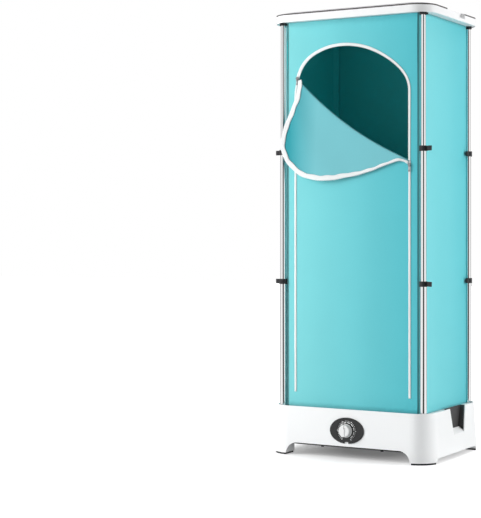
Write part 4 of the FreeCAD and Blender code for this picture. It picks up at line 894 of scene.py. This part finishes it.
def sew_zips():
    """Every stretch of tape, and the coil on each."""
    around = doorway_line(0.0)
    arch_width = ARCH_TAPE * np.linspace(0.85, 1.35, len(around))
    outward = np.gradient(around, axis=0)[:, ::-1] * (1.0, -1.0)
    outward /= np.linalg.norm(outward, axis=1)[:, None]
    around += outward * (0.5 * (arch_width - ARCH_TAPE))[:, None]
    arch = finish_tape(tape_along("doorway_tape", around, arch_width, on_front))
    arch_coil = coil_along("doorway_coil", on_front(doorway_line(-ARCH_TAPE / 2), 0.0016),
                           (0, -1, 0))
    sides = []
    for name, x, top in (("left", -DOOR_HALF, SPRING_Z), ("right", DOOR_HALF, FOLD_RIGHT[1])):
        line = np.column_stack([np.full(200, x), np.linspace(DOOR_Z, top, 200)])
        if name == "left":
            bend = np.linspace(0.0, math.asin(FOLD_LEFT_UP / ARCH_RISE), 12)[1:]
            line = np.concatenate([line, np.column_stack([-DOOR_HALF * np.cos(bend),
                                                          SPRING_Z + ARCH_RISE * np.sin(bend)])])
        tape = tape_along("closed_tape_" + name, line[::-1], CLOSED_TAPE, on_front)
        sides.append(finish_tape(tape))
        sides.append(coil_along("closed_coil_" + name, on_front(line, 0.0018), (0, -1, 0)))
    edge = free_edge(260)
    ahead = np.gradient(edge, axis=0)
    ahead /= np.linalg.norm(ahead, axis=1)[:, None]
    inward = np.column_stack([ahead[:, 1], -ahead[:, 0]])
    share = np.linspace(0.0, 1.0, len(edge))
    turned_away = 0.6 * smooth_step((share - 0.6) / 0.3)     # rolled under to the right
    flap_width = FLAP_TAPE * (1.15 - turned_away + 0.07 * np.sin(95.0 * share))
    middle = edge + inward * (0.5 * flap_width - 0.002)[:, None]

    def on_flap(flat, lift=0.0011):
        """Lay a pattern, given along and below the fold, on the folded part."""
        return flap_place(flat[..., 0], flat[..., 1], lift)

    flap_tape = finish_tape(tape_along("flap_tape", middle, flap_width, on_flap))
    coil_line = edge - inward * 0.0026
    flap_coil = coil_along("flap_coil", on_flap(coil_line, 0.0008), (0, -1, 0))
    return [arch, arch_coil] + sides, [flap_tape, flap_coil]


cover_zips, flap_zips = sew_zips()
front, front_area = front_cloth()
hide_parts("cover_front", "door_panel")
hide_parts("zip_arch")
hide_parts("zip_closed")
for side, node in ((-1, "cover_left"), (1, "cover_right")):
    panel, panel_width = side_cloth(side)
    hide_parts(node)
back = back_cloth()
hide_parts("cover_back")
flap, flap_area = flap_cloth()
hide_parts("door_flap")
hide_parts("flap_zip")

# ---------------------------------------------------------------- sliders
# Two die-cast sliders with hanging pull tabs, satin nickel.
dress(moulded("satin nickel", (0.36, 0.36, 0.37), 0.35, grain=1200.0, drift=0.15, metallic=0.9),
      "zip_slider_left", "zip_slider_right", "pull_tab_left", "pull_tab_right")

# ---------------------------------------------------------------- dial and knob
# A glossy black oval plate screwed to the front wall, printed with a ring of time marks,
# and a silver knob with a raised pointer on the timer's shaft.
DIAL_MIDDLE = Vector((0.0, -0.215095, 0.093))
DIAL_LEAN = math.radians(3.32)
DIAL_OUT = Vector((0.0, -math.cos(DIAL_LEAN), math.sin(DIAL_LEAN)))
DIAL_UP = Vector((0.0, math.sin(DIAL_LEAN), math.cos(DIAL_LEAN)))
PRINT_OUT = 0.00265         # the print lies on the floor of the plate's round well
KNOB_PAINTED_SHADE_TO = 0.0069         # the knob is painted black up to here, out from the wall: painted shade on its skirt
KNOB_TOP = 0.0205           # its pointer line is painted from here outwards
POINTER_HALF, POINTER_FROM = 0.0008, 0.006
ARC_RING = (0.0248, 0.0275)  # radii of the broad arcs
BAR_FROM, BAR_TO, LONG_BAR_TO = 0.0296, 0.0322, 0.0338

dress(moulded("black plate", (0.006, 0.006, 0.007), 0.25, grain=900.0, drift=0.2, coat=0.15),
      "dial_plate")


def along_dial(tree, way):
    """Distance of a point of the piece from the dial's middle along one direction."""
    place = tree.nodes.new("ShaderNodeTexCoord")
    from_middle = tree.nodes.new("ShaderNodeVectorMath")
    from_middle.operation = "SUBTRACT"
    from_middle.inputs[1].default_value = DIAL_MIDDLE
    tree.links.new(place.outputs["Object"], from_middle.inputs[0])
    project = tree.nodes.new("ShaderNodeVectorMath")
    project.operation = "DOT_PRODUCT"
    project.inputs[1].default_value = way
    tree.links.new(from_middle.outputs[0], project.inputs[0])
    return project.outputs["Value"]


def knob_finish():
    """Silver cap with a black pointer line on its ridge; the skirt behind it is painted black, as
    painted shade between cap and plate.
    """
    material = moulded("silver knob", (0.84, 0.84, 0.84), 0.26, grain=700.0, drift=0.05,
                       coat=0.3, metallic=0.15)
    tree = material.node_tree
    shader = tree.nodes["Principled BSDF"]
    skin = shader.inputs["Base Color"].links[0].from_socket
    out, across, up = (along_dial(tree, way) for way in (DIAL_OUT, (1, 0, 0), DIAL_UP))
    line = calculate(tree, "MULTIPLY",
                     calculate(tree, "LESS_THAN", calculate(tree, "ABSOLUTE", across),
                               POINTER_HALF),
                     calculate(tree, "GREATER_THAN", up, POINTER_FROM))
    pointer = calculate(tree, "MULTIPLY", line, calculate(tree, "GREATER_THAN", out, KNOB_TOP))
    paint = tree.nodes.new("ShaderNodeMix")
    paint.data_type = "RGBA"
    # painted shade: every point nearer the wall than the skirt's edge is painted black
    tree.links.new(calculate(tree, "MAXIMUM", pointer,
                             calculate(tree, "LESS_THAN", out, KNOB_PAINTED_SHADE_TO)),
                   paint.inputs["Factor"])
    tree.links.new(skin, paint.inputs["A"])
    paint.inputs["B"].default_value = (0.012, 0.012, 0.013, 1.0)
    tree.links.new(paint.outputs["Result"], shader.inputs["Base Color"])
    return material


dress(knob_finish(), "control_knob")


def dial_print():
    """Printed scale over the timer's 300 degrees: ten broad arcs round the knob, and outside
    them a bar every 10 degrees, a longer one every 60.  Each lies flat in the dial's well."""
    points, faces = [], []

    def dial_point(turn, reach):
        """Point of the dial's well at a turn and a distance from its middle."""
        return (DIAL_MIDDLE + DIAL_OUT * PRINT_OUT + Vector((math.cos(turn), 0, 0)) * reach
                + DIAL_UP * math.sin(turn) * reach)

    def patch(start, end, inner, outer):
        """Piece of a ring between two turns, in degrees, and two radii."""
        first = len(points)
        steps = 6
        for k in range(steps + 1):
            turn = math.radians(start + (end - start) * k / steps)
            points.extend([dial_point(turn, inner), dial_point(turn, outer)])
        for k in range(steps):
            a = first + 2 * k
            faces.append((a, a + 1, a + 3, a + 2))

    for step in range(10):
        middle = 225.0 - 30.0 * step
        patch(middle - 11.0, middle + 11.0, *ARC_RING)
    for step in range(31):
        turn = 240.0 - 10.0 * step
        outer, half = (LONG_BAR_TO, 1.9) if step % 6 == 0 else (BAR_TO, 1.3)
        patch(turn - half, turn + half, BAR_FROM, outer)
    mesh = bpy.data.meshes.new("dial_print")
    mesh.from_pydata(points, [], faces)
    piece = bpy.data.objects.new("dial_print", mesh)
    SCENE.collection.objects.link(piece)
    mesh.materials.append(moulded("white print", (0.85, 0.85, 0.85), 0.5, grain=1500.0))
    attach(piece, "base")
    return piece


dial_print()
